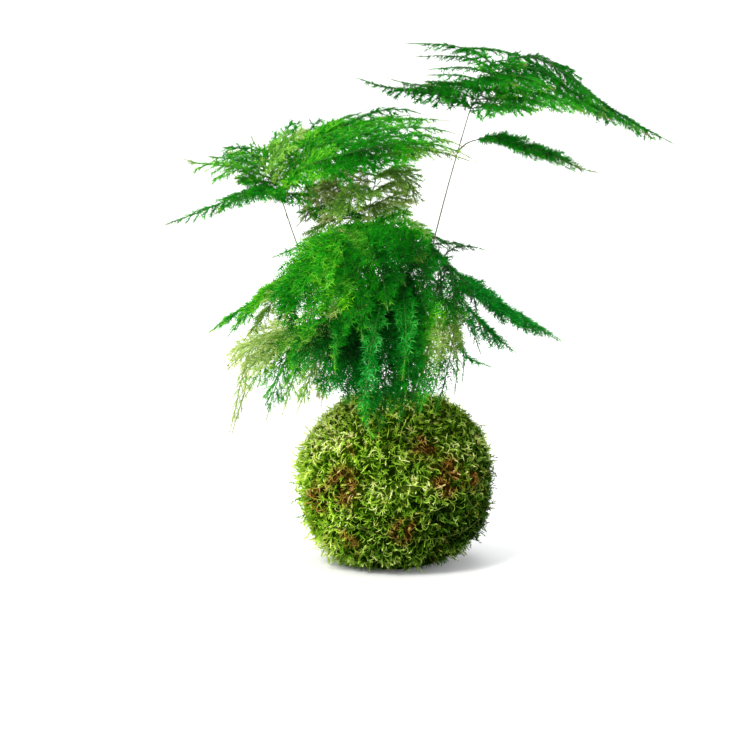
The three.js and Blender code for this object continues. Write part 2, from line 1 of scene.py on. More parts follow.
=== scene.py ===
# Kokedama: a lace fern, Asparagus setaceus, rooted in a ball of soil that is wrapped in moss and
# bound with thread. Metres, +Z up. The origin is the middle of the flat spot under the ball, and
# the plant is seen from the front along +Y. Lengths in the tables are millimetres.
import json
import math
import bpy
import numpy as np
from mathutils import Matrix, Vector

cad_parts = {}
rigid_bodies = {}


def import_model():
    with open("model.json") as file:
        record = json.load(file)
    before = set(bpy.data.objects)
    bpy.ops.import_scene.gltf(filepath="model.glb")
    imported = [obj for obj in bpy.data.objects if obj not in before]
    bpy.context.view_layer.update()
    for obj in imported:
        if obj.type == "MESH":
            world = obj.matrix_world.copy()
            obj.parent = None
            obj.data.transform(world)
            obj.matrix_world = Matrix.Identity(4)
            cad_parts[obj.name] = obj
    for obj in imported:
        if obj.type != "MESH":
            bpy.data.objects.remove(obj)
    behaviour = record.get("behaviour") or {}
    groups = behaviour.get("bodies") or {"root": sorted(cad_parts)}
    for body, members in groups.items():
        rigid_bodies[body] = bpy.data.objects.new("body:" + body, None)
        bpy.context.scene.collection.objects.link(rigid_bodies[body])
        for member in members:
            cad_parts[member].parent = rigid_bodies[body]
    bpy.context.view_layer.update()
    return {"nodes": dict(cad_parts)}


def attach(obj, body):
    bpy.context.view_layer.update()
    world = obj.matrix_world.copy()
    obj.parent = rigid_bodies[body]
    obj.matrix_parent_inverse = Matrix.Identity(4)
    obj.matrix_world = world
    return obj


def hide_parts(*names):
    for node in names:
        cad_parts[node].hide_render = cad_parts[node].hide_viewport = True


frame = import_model()

MM = 0.001
UP = np.array([0.0, 0.0, 1.0])
FULL_TURN = 2 * math.pi
GOLDEN_ANGLE = 2.39996

# Ball
BALL_RADIUS = 60
BALL_CENTRE = np.array([0.0, 0.0, 54.0])
BALL_RISE = 53
BALL_DROP = 57
ROUNDNESS_ABOVE = 2
ROUNDNESS_BELOW = 2.4
MOSS_THICKNESS = 7.5
MOSS_LUMP = 1.1
MOSS_RELIEF = 3.4
# Ripples and grain in the moss: how fast each wave runs along x, y and z, and where it starts
RIPPLES = [(23, 9, 0, -4), (-13, 0, 21, 2), (0, 19, 15, 1), (12, -23, 8, 0)]
BED_WAVES = [(91, 0, -37, 0), (0, 83, 59, 0), (71, 97, 0, 0)]
SEAT_GAP = 0.3
OPENING_LEAN = 19.5
# The bed's mesh, how far it lies under the moss's outside and how rough it is, its least height
# over the floor, and its least thickness at its lowest point
BED_SIDES = 128
BED_OUTER_ROWS = 56
BED_INNER_ROWS = 14
BED_SINK = 1.1
BED_GRAIN = 0.5
BED_CLEARANCE = 0.25
POLE_THICKNESS = 3
# Where shoots begin above the flat spot and end at the opening, as heights on a unit ball
SHOOTS_BEGIN = (-0.93, -0.8)
SHOOTS_END = (0.93, 0.95)
# Depths at which a hollow starts and is full, where the moss is painted darker as shade, and how far down the
# ball hollows fade out
HOLLOW_DEPTHS = (1.1, 2.7)
HOLLOWS_FADE = (0.84, 0.92)
# The side on which the shoots grow longest, how near to it they start to, and by how much
LUSH_SIDE = np.array([-0.9, -0.2, -0.38])
LUSH_NEARNESS = (0.55, 1.0)
LUSH_GAIN = 0.5
# Brown patches in the moss: each one's middle and its size
DRY_PATCHES = [
    ((-32, -48, 56), 17), ((-46, -34, 46), 14), ((-30, -46, 76), 8), ((30, -50, 62), 17),
    ((46, -36, 58), 10), ((4, -56, 30), 13), ((-52, 22, 60), 18), ((50, 30, 50), 20),
    ((4, 56, 50), 20), ((-30, -50, 20), 12), ((16, -50, 80), 12),
]

# Binding thread: each winding's lean from level, the compass angle it leans to, and its height
WINDINGS = [(34, 20, 4), (48, 128, 1), (40, 236, 6), (18, 305, -7)]
THREAD_RADIUS = 0.3
THREAD_DEPTH = 2.7
THREAD_PRESS = 1.9
PRESS_WIDTH = 8.5
THREAD_STEPS = 150
THREAD_SIDES = 6

# Moss shoots
FEATHER_KINDS = 6
FEATHER_SPACING = 3.05
TUFT_SPACING = 3.1
SHOOT_LENGTH = 6.4
SHOOT_SIDES = 3
STRAND_RADII = (0.27, 0.1)
CURL_RADII = (0.26, 0.12)
FEATHER_LEAVES = 7
FEATHER_LEAF_LENGTH = 2.0
FEATHER_LEAF_HALF_WIDTH = 0.42
STAR_LEAVES = 8
STAR_LEAF_LENGTH = 3.4
STAR_LEAF_HALF_WIDTH = 0.4
LEAF_HALF_DEPTH = 0.2
STAR_KINDS = (20, 21, 22)
CURL_KINDS = (23, 24)
# A shoot points along the bed's own outward direction plus a stray one between these two
STRAY_FROM = (-1.0, -1.0, -1.35)
STRAY_TO = (1.0, 1.0, 0.65)
SHOOT_SIZES = (0.6, 1.15)
DENSEST_SHOOTS = 400000.0
# Moss lower than this height is lifted to it, or only to half of it where it lay this deep under
# the floor
PRESSED_HEIGHT = 0.6
PRESSED_DEPTH = 4

# Stems
STEM_FOOT_RADIUS = 0.6
STEM_TOP_RADIUS = 0.32
STEM_SIDES = 8
STEM_STEP = 4
SCALE_SPACING = 17
SCALE_LENGTH = 3.0
SCALE_HALF_WIDTH = 0.55
SCALE_HALF_DEPTH = 0.3
SCALE_LEAN = 0.42

# Sprays
FROND_LEAD = 3
CLEAR_OF_MOSS = 1
CAD_LIMB_STEP = 19
LIMB_STEP = 4
LIMB_ROOT_RADIUS = 0.45
LIMB_TIP_RADIUS = 0.2
LIMB_SIDES = 5
TWIG_SIDES = 3
LIMB_CONTRAST = 0.32
YELLOW_CONTRAST = 0.8
BRANCHLET_SPACING = 2.8
BRANCHLET_STEP = 4.5
BRANCHLET_SHORTEST = 2.2
BRANCHLET_RADIUS = 0.2
BRANCHLET_LEAN = 0.68
FORWARD_REACH = 1.25
TWIGLESS_ROOT = 1.5
TWIG_SPACING = 3.0
TWIG_STEP = 6
TWIG_SHORTEST = 1.6
TWIG_RADIUS = 0.13
TWIG_LEAN = 0.62
TWIG_SHARE = 0.42
TWIGGED_REACH = 7.5
NEEDLE_LENGTH = 4.6
NEEDLE_RADIUS = 0.34
NEEDLES_IN_WHORL = 3
WHORL_KINDS = 4
PRESSED_LEAN = 0.62
SPREAD_LEAN = 0.92
WHORL_SPACING = 1.34
WHORL_SIZES = (0.82, 1.15)
LEAST_NEEDLE_SIZE = 0.3
TIP_STRAW = 0.8
# The share of a limb after which it is bare of needles, and the height over which it is bare sooner
BARE_TIP = 0.985
HIGH_BARE_TIP = 0.95
BARE_TIP_HEIGHT = 200
# The share of a limb before which it is bare, for the limb that carries on the stem and for the rest
FIRST_BARE_ROOT = 0.06
BARE_ROOT = 0.01
# How far a limb between two others reaches, as a part of what both reach together
BETWEEN_REACH = 0.4

# Studio, in metres
FLOOR_RADIUS = 2.4
WALL_BEND = 0.8
FLOOR_SIDES = 96
# Each light: its name, its place, the point it faces, its size, its power and its colour
LIGHTS = [
    ("key_light", (-0.9, -1.3, 1.5), (0, 0, 0.15), 0.6, 46, (1, 0.99, 0.95)),
    ("fill_light", (1.3, -1.0, 0.7), (0, 0, 0.12), 1.0, 7, (0.96, 0.98, 1)),
    ("top_light", (0.2, 0.5, 1.6), (0, 0, 0.15), 0.9, 14, (1, 1, 1)),
]
SKY_COLOUR = (0.97, 0.98, 1, 1)
SKY_STRENGTH = 0.7

# Camera: 0.6 millimetres to a pixel at the target
SENSOR_WIDTH = 36
FRAME_WIDTH = 0.45
CAMERA_DISTANCE = 1.1
CAMERA_ELEVATION = 8
CAMERA_TARGET = Vector((-0.013, 0, 0.114))

# Each frond: the points of its stem, the way its upper side faces, and its limbs. A limb has
# the reach of its branchlets to either side, then the points that it runs through.
PLANT = [
    {
        "name": "upper_right",
        "stem": [
            [4, 1, 88], [4, 2, 100], [6, 4, 118], [12, 8, 148], [20, 12, 184], [31, 16, 227],
            [43, 18, 269],
        ],
        "face": [0.12, -0.55, 0.83],
        "limbs": [
            [9, [[43, 18, 269], [52, 19, 283], [61, 20, 295]]],
            [18, [[61, 20, 295], [76, 22, 303], [97, 26, 297], [116, 30, 282], [141, 34, 266],
                [173, 38, 249]]],
            [10, [[61, 20, 295], [48, 33, 306], [29, 46, 311], [4, 56, 312]]],
            [5, [[59, 20, 292], [42, 32, 297], [19, 44, 296]]],
            [11, [[52, 19, 283], [32, 4, 287], [15, -10, 288]]],
            [11, [[45, 18, 272], [28, 2, 280], [7, -14, 283], [-10, -26, 285], [-28, -34, 291]]],
            [18, [[52, 19, 283], [80, 2, 283], [97, -6, 277], [110, -12, 269]]],
            [14, [[45, 18, 272], [62, 0, 275], [84, -14, 271]]],
            [8, [[90, 25, 297], [107, 14, 288], [117, 10, 279], [124, 8, 271]]],
        ],
    },
    {
        "name": "upper_right_low",
        "side_stalk_of": "upper_right",
        "stem": [[36.6, 17.1, 247], [42, 12, 252], [48, 8, 254]],
        "face": [0.15, -0.5, 0.86],
        "limbs": [
            [9, [[48, 8, 254], [60, 4, 255], [77, 0, 250], [94, -4, 245], [106, -8, 238],
                [118, -12, 235]]],
        ],
    },
    {
        "name": "upper_left",
        "stem": [
            [-5, 1, 88], [-6, 2, 100], [-12, 4, 114], [-30, 7, 136], [-46, 9, 161], [-59, 10, 190],
            [-69, 11, 219],
        ],
        "face": [-0.1, -0.55, 0.83],
        "limbs": [
            [7, [[-69, 11, 219], [-78, 12, 238], [-88, 13, 258]]],
            [9, [[-72, 11, 227], [-88, -4, 224], [-104, -16, 217], [-122, -24, 210],
                [-139, -30, 204]]],
            [12, [[-74, 12, 231], [-91, 3, 237], [-106, 8, 239], [-118, 10, 240],
                [-129, 12, 243]]],
            [11, [[-78, 12, 239], [-92, 24, 248], [-107, 36, 249]]],
            [16, [[-79, 12, 241], [-65, 26, 255], [-41, 38, 263], [-16, 48, 272]]],
            [16, [[-76, 12, 234], [-53, 15, 252], [-22, 21, 262], [8, 29, 266], [34, 36, 265]]],
            [18, [[-71, 11, 223], [-58, -8, 237], [-31, -20, 246], [-4, -26, 252], [19, -28, 252],
                [35, -28, 247.5], [47, -28, 241]]],
            [12, [[-70, 11, 221], [-76, -14, 226], [-73, -32, 219]]],
        ],
    },
    {
        "name": "middle_high",
        "stem": [
            [-1, 5, 88], [-1, 6, 100], [-2, 9, 116], [-7, 16, 142], [-13, 26, 173], [-17, 32, 200],
        ],
        "face": [0.1, -0.4, 0.9],
        "limbs": [
            [8, [[-17, 32, 200], [-15, 34, 220], [-10, 36, 238]]],
            [10, [[-10, 36, 238], [4, 40, 243], [16, 43, 242]]],
            [12, [[-12, 35, 231], [-2, 28, 237], [9, 22, 237]]],
            [11, [[-15, 34, 220], [1, 46, 226], [14, 54, 224]]],
            [15, [[-13, 34, 228], [-31, 26, 229], [-47, 22, 220], [-61, 22, 205]]],
            [15, [[-11, 36, 236], [-28, 46, 241], [-46, 56, 233], [-58, 62, 222]]],
            [12, [[-16, 33, 213], [-2, 24, 219], [9, 16, 217]]],
            [11, [[-17, 32, 206], [-2, 38, 211], [10, 40, 209]]],
            [13, [[-17, 32, 206], [-34, 34, 211], [-50, 40, 203]]],
        ],
    },
    {
        "name": "middle_low",
        "stem": [[4, 9, 88], [4, 10, 100], [5, 13, 114], [4, 24, 138], [3, 38, 166], [3, 47, 184]],
        "face": [0.1, -0.35, 0.93],
        "limbs": [
            [12, [[3, 47, 184], [5, 52, 192], [9, 61, 197], [16, 76, 195], [22, 90, 185]]],
            [12, [[3, 48, 187], [-18, 58, 200], [-38, 70, 197], [-52, 80, 184]]],
            [11, [[3, 48, 187], [-6, 68, 198], [-10, 88, 196], [-12, 106, 184]]],
            [7, [[3, 47, 184], [22, 52, 189], [38, 58, 189], [50, 64, 184]]],
        ],
    },
    {
        "name": "front_left",
        "stem": [
            [-6, -5, 88], [-7, -6, 100], [-10, -9, 116], [-18, -18, 148], [-22, -27, 178],
            [-21, -35, 199],
        ],
        "face": [-0.35, -0.55, 0.75],
        "limbs": [
            [10, [[-21, -35, 199], [-26, -45, 206], [-34, -56, 204]]],
            [20, [[-34, -56, 204], [-47, -67, 194], [-57, -77, 177], [-63, -84, 158]]],
            [16, [[-23, -40, 203], [-8, -48, 206], [6, -54, 199], [14, -60, 186]]],
            [18, [[-30, -51, 206], [-32, -67, 194], [-34, -81, 176], [-38, -90, 156]]],
            [9, [[-23, -38, 203], [-40, -40, 202], [-52, -44, 191], [-61, -50, 173]]],
            [16, [[-26, -45, 206], [-16, -63, 196], [-9, -77, 180], [-6, -87, 162]]],
        ],
    },
    {
        "name": "front_centre",
        "stem": [[1, -7, 88], [1, -8, 100], [1, -11, 114], [1, -18, 136], [3, -26, 158], [5, -31, 172]],
        "face": [0, -0.8, 0.6],
        "limbs": [
            [9, [[5, -31, 172], [4, -39, 178], [2, -48, 174]]],
            [14, [[2, -48, 174], [-2, -60, 156], [-6, -68, 132], [-9, -71, 108], [-11, -72, 90]]],
            [13, [[4, -39, 178], [14, -54, 164], [17, -62, 144], [15, -68, 120], [12, -70, 100]]],
            [14, [[4, -38, 177], [-14, -48, 168], [-26, -60, 148], [-32, -68, 124]]],
        ],
    },
    {
        "name": "front_right",
        "stem": [
            [7, -6, 88], [8, -7, 100], [11, -9, 114], [17, -13, 138], [22, -17, 162],
            [25, -21, 180],
        ],
        "face": [0.35, -0.6, 0.7],
        "limbs": [
            [9, [[25, -21, 180], [27, -27, 187], [29, -36, 184]]],
            [13, [[29, -36, 184], [32, -50, 168], [31, -62, 144], [26, -70, 120], [20, -72, 100]]],
            [6, [[26, -24, 184], [32, -32, 178], [34, -40, 162], [32, -47, 142]]],
            [11, [[26, -25, 185], [15, -34, 187], [10, -42, 181]]],
        ],
    },
    {
        "name": "left_back",
        "stem": [
            [-9, 6, 88], [-10, 7, 100], [-14, 11, 113], [-28, 22, 134], [-43, 32, 156],
            [-56, 40, 170],
        ],
        "face": [-0.4, -0.3, 0.85],
        "limbs": [
            [11, [[-56, 40, 170], [-70, 43, 166], [-85, 46, 156], [-103, 53, 144],
                [-120, 59, 131]]],
            [9, [[-61, 41, 170], [-76, 36, 164], [-90, 31, 150], [-105, 26, 132]]],
            [10, [[-58, 41, 170], [-74, 56, 166], [-88, 70, 152]]],
        ],
    },
    {
        "name": "left_low",
        "stem": [
            [-10, 0, 88], [-11, 0, 100], [-15, 0, 112], [-29, -2, 128], [-41, -5, 140],
            [-50, -8, 144],
        ],
        "face": [-0.5, -0.55, 0.65],
        "limbs": [
            [16, [[-50, -8, 144], [-68, -14, 142], [-87, -20, 132], [-101, -26, 119]]],
            [14, [[-52, -9, 144], [-72, 4, 141], [-90, 12, 132], [-107, 18, 121]]],
            [13, [[-54, -10, 144], [-62, -30, 134], [-70, -42, 114], [-76, -48, 93]]],
            [5, [[-86, -20, 132], [-92, -25, 112], [-95, -28, 97], [-99, -30, 82]]],
            [12, [[-50, -8, 144], [-47, -30, 138], [-51, -48, 118], [-58, -58, 99]]],
        ],
    },
    {
        "name": "right_back",
        "stem": [[9, 6, 88], [10, 7, 100], [13, 11, 113], [22, 19, 134], [31, 27, 154], [34, 29, 158]],
        "face": [0.35, -0.45, 0.8],
        "limbs": [
            [18, [[34, 29, 158], [39, 33, 164], [50, 38, 163], [66, 44, 151], [84, 50, 140],
                [104, 56, 127]]],
            [13, [[36, 31, 161], [44, 25, 152], [56, 20, 138], [74, 17, 124.5]]],
            [8, [[34, 29, 158], [36, 37, 140], [44, 46, 120], [61, 56, 111]]],
            [8, [[38, 32, 163], [44, 52, 168], [52, 70, 160], [58, 86, 145]]],
        ],
    },
    {
        "name": "right_high",
        "stem": [[10, 1, 88], [11, 2, 100], [15, 4, 114], [22, 6, 142], [26, 7, 165], [27, 7, 177]],
        "face": [0.15, -0.5, 0.85],
        "limbs": [
            [10, [[27, 7, 177], [28, 7, 184], [34, 5, 190], [44, 2, 191], [53, 0, 189]]],
            [11, [[27, 7, 180], [36, -2, 175], [45, -10, 162], [48, -16, 146]]],
            [10, [[27, 7, 182], [35, 16, 176], [42, 24, 166], [47, 32, 154]]],
        ],
    },
    {
        "name": "right_low",
        "stem": [
            [10, -4, 88], [11, -5, 100], [14, -7, 112], [20, -10, 130], [25, -14, 145],
            [27, -17, 150],
        ],
        "face": [0.6, -0.6, 0.5],
        "limbs": [
            [8, [[27, -17, 150], [33, -24, 141], [35, -30, 124], [33, -36, 107]]],
            [6, [[27, -17, 150], [36, -12, 142], [40, -6, 126], [39, -2, 108]]],
            [11, [[27, -17, 150], [27, -34, 142], [24, -48, 124], [18, -57, 106]]],
        ],
    },
    {
        "name": "back",
        "stem": [[0, 10, 88], [0, 12, 100], [1, 16, 112], [6, 32, 134], [12, 47, 151], [14, 56, 156]],
        "face": [0.1, 0.3, 0.95],
        "limbs": [
            [16, [[14, 56, 156], [18, 74, 154], [20, 92, 140], [22, 106, 120]]],
            [14, [[14, 56, 156], [34, 66, 150], [48, 78, 134], [56, 88, 114]]],
            [14, [[14, 56, 156], [-4, 70, 152], [-18, 86, 138], [-26, 98, 118]]],
        ],
    },
    {
        "name": "back_left",
        "stem": [
            [-5, 9, 88], [-6, 11, 100], [-8, 15, 112], [-18, 29, 128], [-28, 41, 140],
            [-34, 46, 143],
        ],
        "face": [-0.4, 0.3, 0.85],
        "limbs": [
            [15, [[-34, 46, 143], [-48, 56, 137], [-60, 66, 120], [-68, 74, 101]]],
            [13, [[-34, 46, 143], [-34, 62, 136], [-36, 76, 120], [-38, 86, 101]]],
            [11, [[-34, 46, 143], [-52, 44, 137], [-66, 44, 120], [-76, 46, 103]]],
        ],
    },
]

# Each frond's lightness, how far its green leans from blue-green at 0 to yellow-green at 1 and on
# to straw, how far its branchlets droop, how full it grows, and the size of its needles
LOOKS = {
    "upper_right": (0.4, 0.5, 0.42, 0.82, 0.95),
    "upper_right_low": (0.33, 0.45, 0.0, 1.0, 1.1),
    "upper_left": (0.53, 0.9, 0.3, 0.9, 0.95),
    "middle_high": (0.64, 1.3, 0.25, 1.05, 0.85),
    "middle_low": (0.36, 0.7, 0.2, 0.9, 0.9),
    "front_left": (0.46, 0.85, 0.2, 0.97, 1.05),
    "front_centre": (0.5, 0.4, 0.15, 1.1, 1.05),
    "front_right": (0.42, 0.4, 0.15, 0.72, 0.95),
    "left_back": (0.54, 1.25, 0.2, 1.05, 1.0),
    "left_low": (0.72, 1.72, 0.15, 1.12, 0.8),
    "right_back": (0.62, 0.15, 0.28, 0.7, 1.15),
    "right_high": (0.34, 0.3, 0.3, 0.42, 1.0),
    "right_low": (0.34, 0.4, 0.1, 0.5, 0.9),
    "back": (0.36, 0.5, 0.1, 0.6, 0.9),
    "back_left": (0.4, 0.6, 0.1, 0.9, 0.9),
}
# Where the green differs: each place's middle, the distance up to which it is full and the one at
# which it is gone, and what it adds to the lightness and to the yellow. The first five places and
# the last are painted shade, darker where shade falls inside the spray and in its hollows; the
# sixth is painted light on the lit front arch, lighter and yellower, partly young growth; the
# seventh is a straw-coloured patch; the eighth is olive and darker, partly painted shade
PLACES = [
    ((2, -14, 160), 20, 62, -0.2, 0),
    ((-4, -66, 182), 8, 38, -0.42, -0.1),
    ((14, -22, 190), 6, 30, -0.22, -0.1),
    ((-45, -66, 147), 4, 22, -0.26, -0.2),
    ((-25, -68, 142), 4, 18, -0.26, -0.2),
    ((-38, -62, 192), 10, 46, 0.12, 0.15),
    ((28, -44, 136), 13, 34, 0.13, 2.1),
    ((4, -34, 250), 24, 60, -0.14, 0.25),
    ((-16, -22, 238), 10, 34, -0.2, -0.2),
]
# The heights below and above which foliage is low and high, and what being low adds: painted shade, a little
# darker lower down, and less yellow
LOW_HEIGHTS = (130, 185)
LOW_CHANGE = (-0.06, -0.4)
# Fronds whose needles stand out wide from their twigs
SPREADING = ("front_left", "front_centre", "front_right", "right_back", "upper_right_low")

# Finer limbs that fill a frond: the two limbs each grows between, how far from the first, and
# the part of its length that it keeps
BETWEEN = {
    "upper_right": [(1, 6, 0.3, 1), (1, 6, 0.6, 0.9), (6, 7, 0.5, 1), (2, 3, 0.5, 1), (3, 4, 0.5, 1),
                    (4, 5, 0.5, 1)],
    "upper_left": [(4, 5, 0.5, 1), (5, 6, 0.35, 1), (5, 6, 0.7, 1), (2, 3, 0.4, 0.9), (3, 2, 0.3, 0.7),
                   (1, 2, 0.5, 0.4), (1, 7, 0.5, 1), (3, 4, 0.3, 0.5)],
    "middle_high": [(2, 6, 0.5, 1), (4, 8, 0.5, 1), (6, 7, 0.5, 1), (4, 5, 0.5, 1)],
    "middle_low": [(0, 3, 0.5, 1)],
    "front_left": [(1, 3, 0.5, 1), (3, 5, 0.5, 1), (2, 5, 0.5, 1)],
    "front_centre": [(1, 2, 0.5, 1), (1, 3, 0.5, 1)],
    "front_right": [(1, 3, 0.5, 1)],
    "left_low": [(0, 2, 0.5, 1), (2, 4, 0.5, 1)],
    "right_back": [(0, 1, 0.15, 0.9)],
    "back": [(0, 2, 0.5, 1)],
    "back_left": [(0, 1, 0.5, 1)],
}

# Finer limbs with a way of their own: a reach and points like the rest, and for a few how much
# lighter or darker they are; the three narrow lighter strands are painted light on lit needles
EXTRA_LIMBS = {
    "upper_right": [
        [9, [[40, 38, 308], [55, 30, 308], [72, 24, 304], [88, 24, 296]]],
        [14, [[56, 19, 288], [62, 8, 292], [76, -2, 290], [92, -8, 283]]],
        [13, [[59, 20, 292], [70, 16, 297], [86, 12, 294], [100, 10, 287]]],
        [12, [[52, 19, 283], [64, 10, 286], [78, 2, 284]]],
        [14, [[52, 19, 283], [50, 4, 290], [58, -8, 290], [70, -14, 285]]],
        [13, [[56, 19, 288], [56, 6, 298], [64, -2, 300], [76, -6, 297]]],
        [9, [[45, 18, 272], [37, 8, 280], [23, 0, 283], [6, -6, 284]]],
        [9, [[52, 19, 283], [42, 8, 287], [28, 0, 287], [14, -4, 286]]],
    ],
    "upper_right_low": [
        [6, [[48, 8, 254], [60, 0, 255], [77, -6, 250], [94, -10, 244], [108, -14, 237]]],
        [6, [[48, 8, 254], [60, 10, 253], [77, 7, 247], [94, 3, 241], [106, -2, 235]]],
        [6, [[48, 8, 254], [62, 3, 254], [80, -2, 248], [97, -6, 241]]],
    ],
    "upper_left": [
        [14, [[-71, 11, 223], [-84, 2, 231], [-95, -4, 231]]],
        [14, [[-72, 11, 227], [-74, 2, 240], [-66, -4, 252], [-52, -8, 260]]],
        [12, [[-70, 11, 221], [-62, 0, 222], [-54, -8, 215]]],
        [9, [[-53, 15, 252], [-31, 28, 263], [-13, 30, 270], [2, 32, 272], [20, 32, 268]]],
        [12, [[-58, -8, 237], [-31, -22, 241], [-4, -27, 246], [18, -28, 249], [34, -28, 247]]],
        [9, [[-31, -20, 246], [-4, -27, 250], [14, -30, 249], [30, -30, 246], [42, -30, 242]]],
        [10, [[-70, 11, 221], [-63, 2, 230], [-54, -4, 228], [-46, -8, 224]]],
    ],
    "middle_high": [
        [13, [[-15, 34, 220], [-20, 14, 226], [-34, 4, 216], [-46, 0, 204]]],
        [13, [[-12, 35, 231], [0, 16, 236], [8, 4, 226], [12, -4, 214]], -0.25],
        [13, [[-16, 33, 213], [-14, 16, 214], [-12, 4, 204], [-10, -4, 194]], -0.2],
        [12, [[-17, 32, 206], [-34, 24, 214], [-50, 18, 212], [-61, 14, 201]], -0.25],
        [12, [[-15, 34, 220], [-36, 24, 226], [-52, 18, 222], [-62, 12, 214]]],
        [12, [[-17, 32, 206], [-34, 28, 206], [-48, 24, 200], [-58, 20, 190]]],
        [12, [[-17, 32, 206], [-2, 30, 206], [12, 28, 202], [22, 26, 194]]],
    ],
    "middle_low": [
        [14, [[3, 47, 184], [12, 42, 179], [20, 38, 168], [26, 36, 156]]],
    ],
    "front_left": [
        [13, [[-34, -56, 204], [-30, -78, 188], [-22, -90, 166], [-20, -92, 146]]],
        [15, [[-30, -51, 206], [-40, -72, 186], [-46, -82, 166], [-52, -84, 148], [-56, -84, 138]]],
        [15, [[-23, -40, 203], [-28, -68, 186], [-31, -82, 166], [-33, -84, 148], [-37, -82, 134]]],
        [13, [[-34, -56, 204], [-50, -70, 186], [-62, -76, 166], [-68, -76, 150]]],
        [4, [[-40, -40, 202], [-56, -40, 194], [-73, -40, 187]]],
        [13, [[-47, -67, 194], [-56, -66, 178], [-60, -62, 162], [-60, -58, 142]]],
        [16, [[-23, -38, 203], [-10, -34, 201], [2, -34, 197], [12, -34, 188]]],
        [15, [[-23, -38, 203], [-14, -38, 197], [-4, -38, 186], [0, -40, 172]]],
    ],
    "front_centre": [
        [14, [[2, -48, 174], [-13, -64, 154], [-16, -70, 132], [-18, -75, 112], [-19, -76, 94]]],
        [12, [[2, -48, 174], [4, -64, 150], [6, -72, 128], [4, -74, 112]]],
        [12, [[-14, -48, 168], [-41, -60, 152], [-53, -62, 134], [-61, -60, 117]]],
        [12, [[-20, -54, 158], [-35, -62, 137], [-40, -64, 121], [-43, -64, 108]]],
        [12, [[-22, -58, 152], [-27, -68, 134], [-28, -71, 118], [-27, -73, 106]]],
        [14, [[5, -31, 172], [6, -33, 150], [3, -40, 130], [0, -46, 112], [-2, -49, 102]]],
        [14, [[4, -38, 177], [-16, -32, 160], [-22, -38, 138], [-22, -46, 116]]],
        [12, [[4, -39, 178], [11, -44, 154], [14, -50, 130], [12, -54, 112], [9, -56, 98]]],
        [12, [[-14, -48, 168], [-24, -52, 146], [-28, -54, 124], [-28, -56, 104]]],
        # Three narrow strands painted lighter, as painted light on lit needles in front of the shade
        [6, [[2, -48, 174], [-8, -66, 168], [-12, -78, 155], [-15, -84, 143], [-17, -85, 128],
             [-19, -83, 110], [-18, -80, 97], [-12, -78, 88]], 0.2],
        [5, [[-14, -48, 168], [-24, -70, 163], [-31, -82, 152], [-35, -86, 140], [-35, -85, 126]], 0.22],
        [6, [[2, -48, 174], [3, -68, 167], [4, -78, 154], [4, -81, 140], [2, -80, 122]], 0.16],
    ],
    "front_right": [
        [9, [[25, -21, 180], [26, -28, 160], [26, -34, 140], [24, -42, 118]]],
        [13, [[26, -25, 185], [16, -30, 193], [4, -36, 196], [-8, -42, 192]]],
        [14, [[26, -25, 185], [22, -38, 190], [16, -48, 184], [12, -54, 170]]],
        [16, [[25, -21, 180], [16, -22, 186], [4, -24, 184]]],
        [15, [[25, -21, 180], [19, -15, 178], [15, -12, 167], [12, -16, 150]]],
        [15, [[25, -21, 180], [15, -14, 183], [6, -12, 177], [-2, -12, 166]]],
    ],
    "left_back": [
        [11, [[-56, 40, 170], [-68, 22, 164], [-80, 10, 150], [-92, 2, 134]]],
    ],
    "left_low": [
        [12, [[-62, -14, 143], [-76, -26, 132], [-85, -32, 124], [-90, -34, 116]]],
        [13, [[-50, -8, 144], [-44, -30, 138], [-42, -46, 120], [-44, -54, 102]]],
        [4, [[-86, -24, 122], [-89, -26, 110], [-93, -29, 96], [-97, -31, 83]]],
    ],
    "right_back": [
        [6, [[50, 38, 163], [66, 44, 152], [84, 50, 141], [106, 56, 127]]],
    ],
}


# Shapes

def draw(a, b=0, c=0):
    """A steady draw between 0 and 1 for three whole numbers."""
    wave = math.sin(12.9898 * a + 78.233 * b + 37.719 * c + 1.7) * 43758.5453
    return wave - math.floor(wave)


def stray(amount, a, b=0, c=0):
    """A steady draw that strays up to half the amount to either side of nothing."""
    return amount * (draw(a, b, c) - 0.5)


def unit(vectors):
    return vectors / np.linalg.norm(vectors, axis=-1, keepdims=True)


def smoothstep(value, low, high):
    share = np.clip((value - low) / (high - low), 0, 1)
    return share * share * (3 - 2 * share)


def turned(vector, axis, angle):
    """A vector turned about a unit axis."""
    along = axis * np.dot(axis, vector)
    return along + (vector - along) * math.cos(angle) + np.cross(axis, vector) * math.sin(angle)


def spline_points(points, shares):
    """Points of a Catmull-Rom curve at shares of its parameter."""
    points = np.asarray(points, float)
    padded = np.vstack([2 * points[0] - points[1], points, 2 * points[-1] - points[-2]])
    place = np.clip(shares, 0, 1) * (len(points) - 1)
    piece = np.minimum(place.astype(int), len(points) - 2)
    t = (place - piece)[:, None]
    before, start, end, after = (padded[piece + k] for k in range(4))
    leave = 0.5 * (end - before)
    arrive = 0.5 * (after - start)
    return (start + leave * t + (3 * (end - start) - 2 * leave - arrive) * t ** 2
            + (2 * (start - end) + leave + arrive) * t ** 3)


def smooth_line(points, step):
    """Equally spaced points along the curve through the given ones."""
    shares = np.linspace(0, 1, 201)
    dense = spline_points(points, shares)
    lengths = np.concatenate([[0], np.cumsum(np.linalg.norm(np.diff(dense, axis=0), axis=1))])
    steps = max(2, math.floor(lengths[-1] / step + 0.5))
    wanted = np.interp(np.linspace(0, lengths[-1], steps + 1), lengths, shares)
    return spline_points(points, wanted)


def line_length(line):
    return float(np.linalg.norm(np.diff(line, axis=0), axis=1).sum())


def along_line(line, share):
    """The point and the direction at a share of a line's length."""
    pieces = np.linalg.norm(np.diff(line, axis=0), axis=1)
    starts = np.concatenate([[0], np.cumsum(pieces)])
    distance = share * starts[-1]
    i = min(int(np.searchsorted(starts, distance, side="right")) - 1, len(pieces) - 1)
    direction = (line[i + 1] - line[i]) / pieces[i]
    return line[i] + direction * (distance - starts[i]), direction


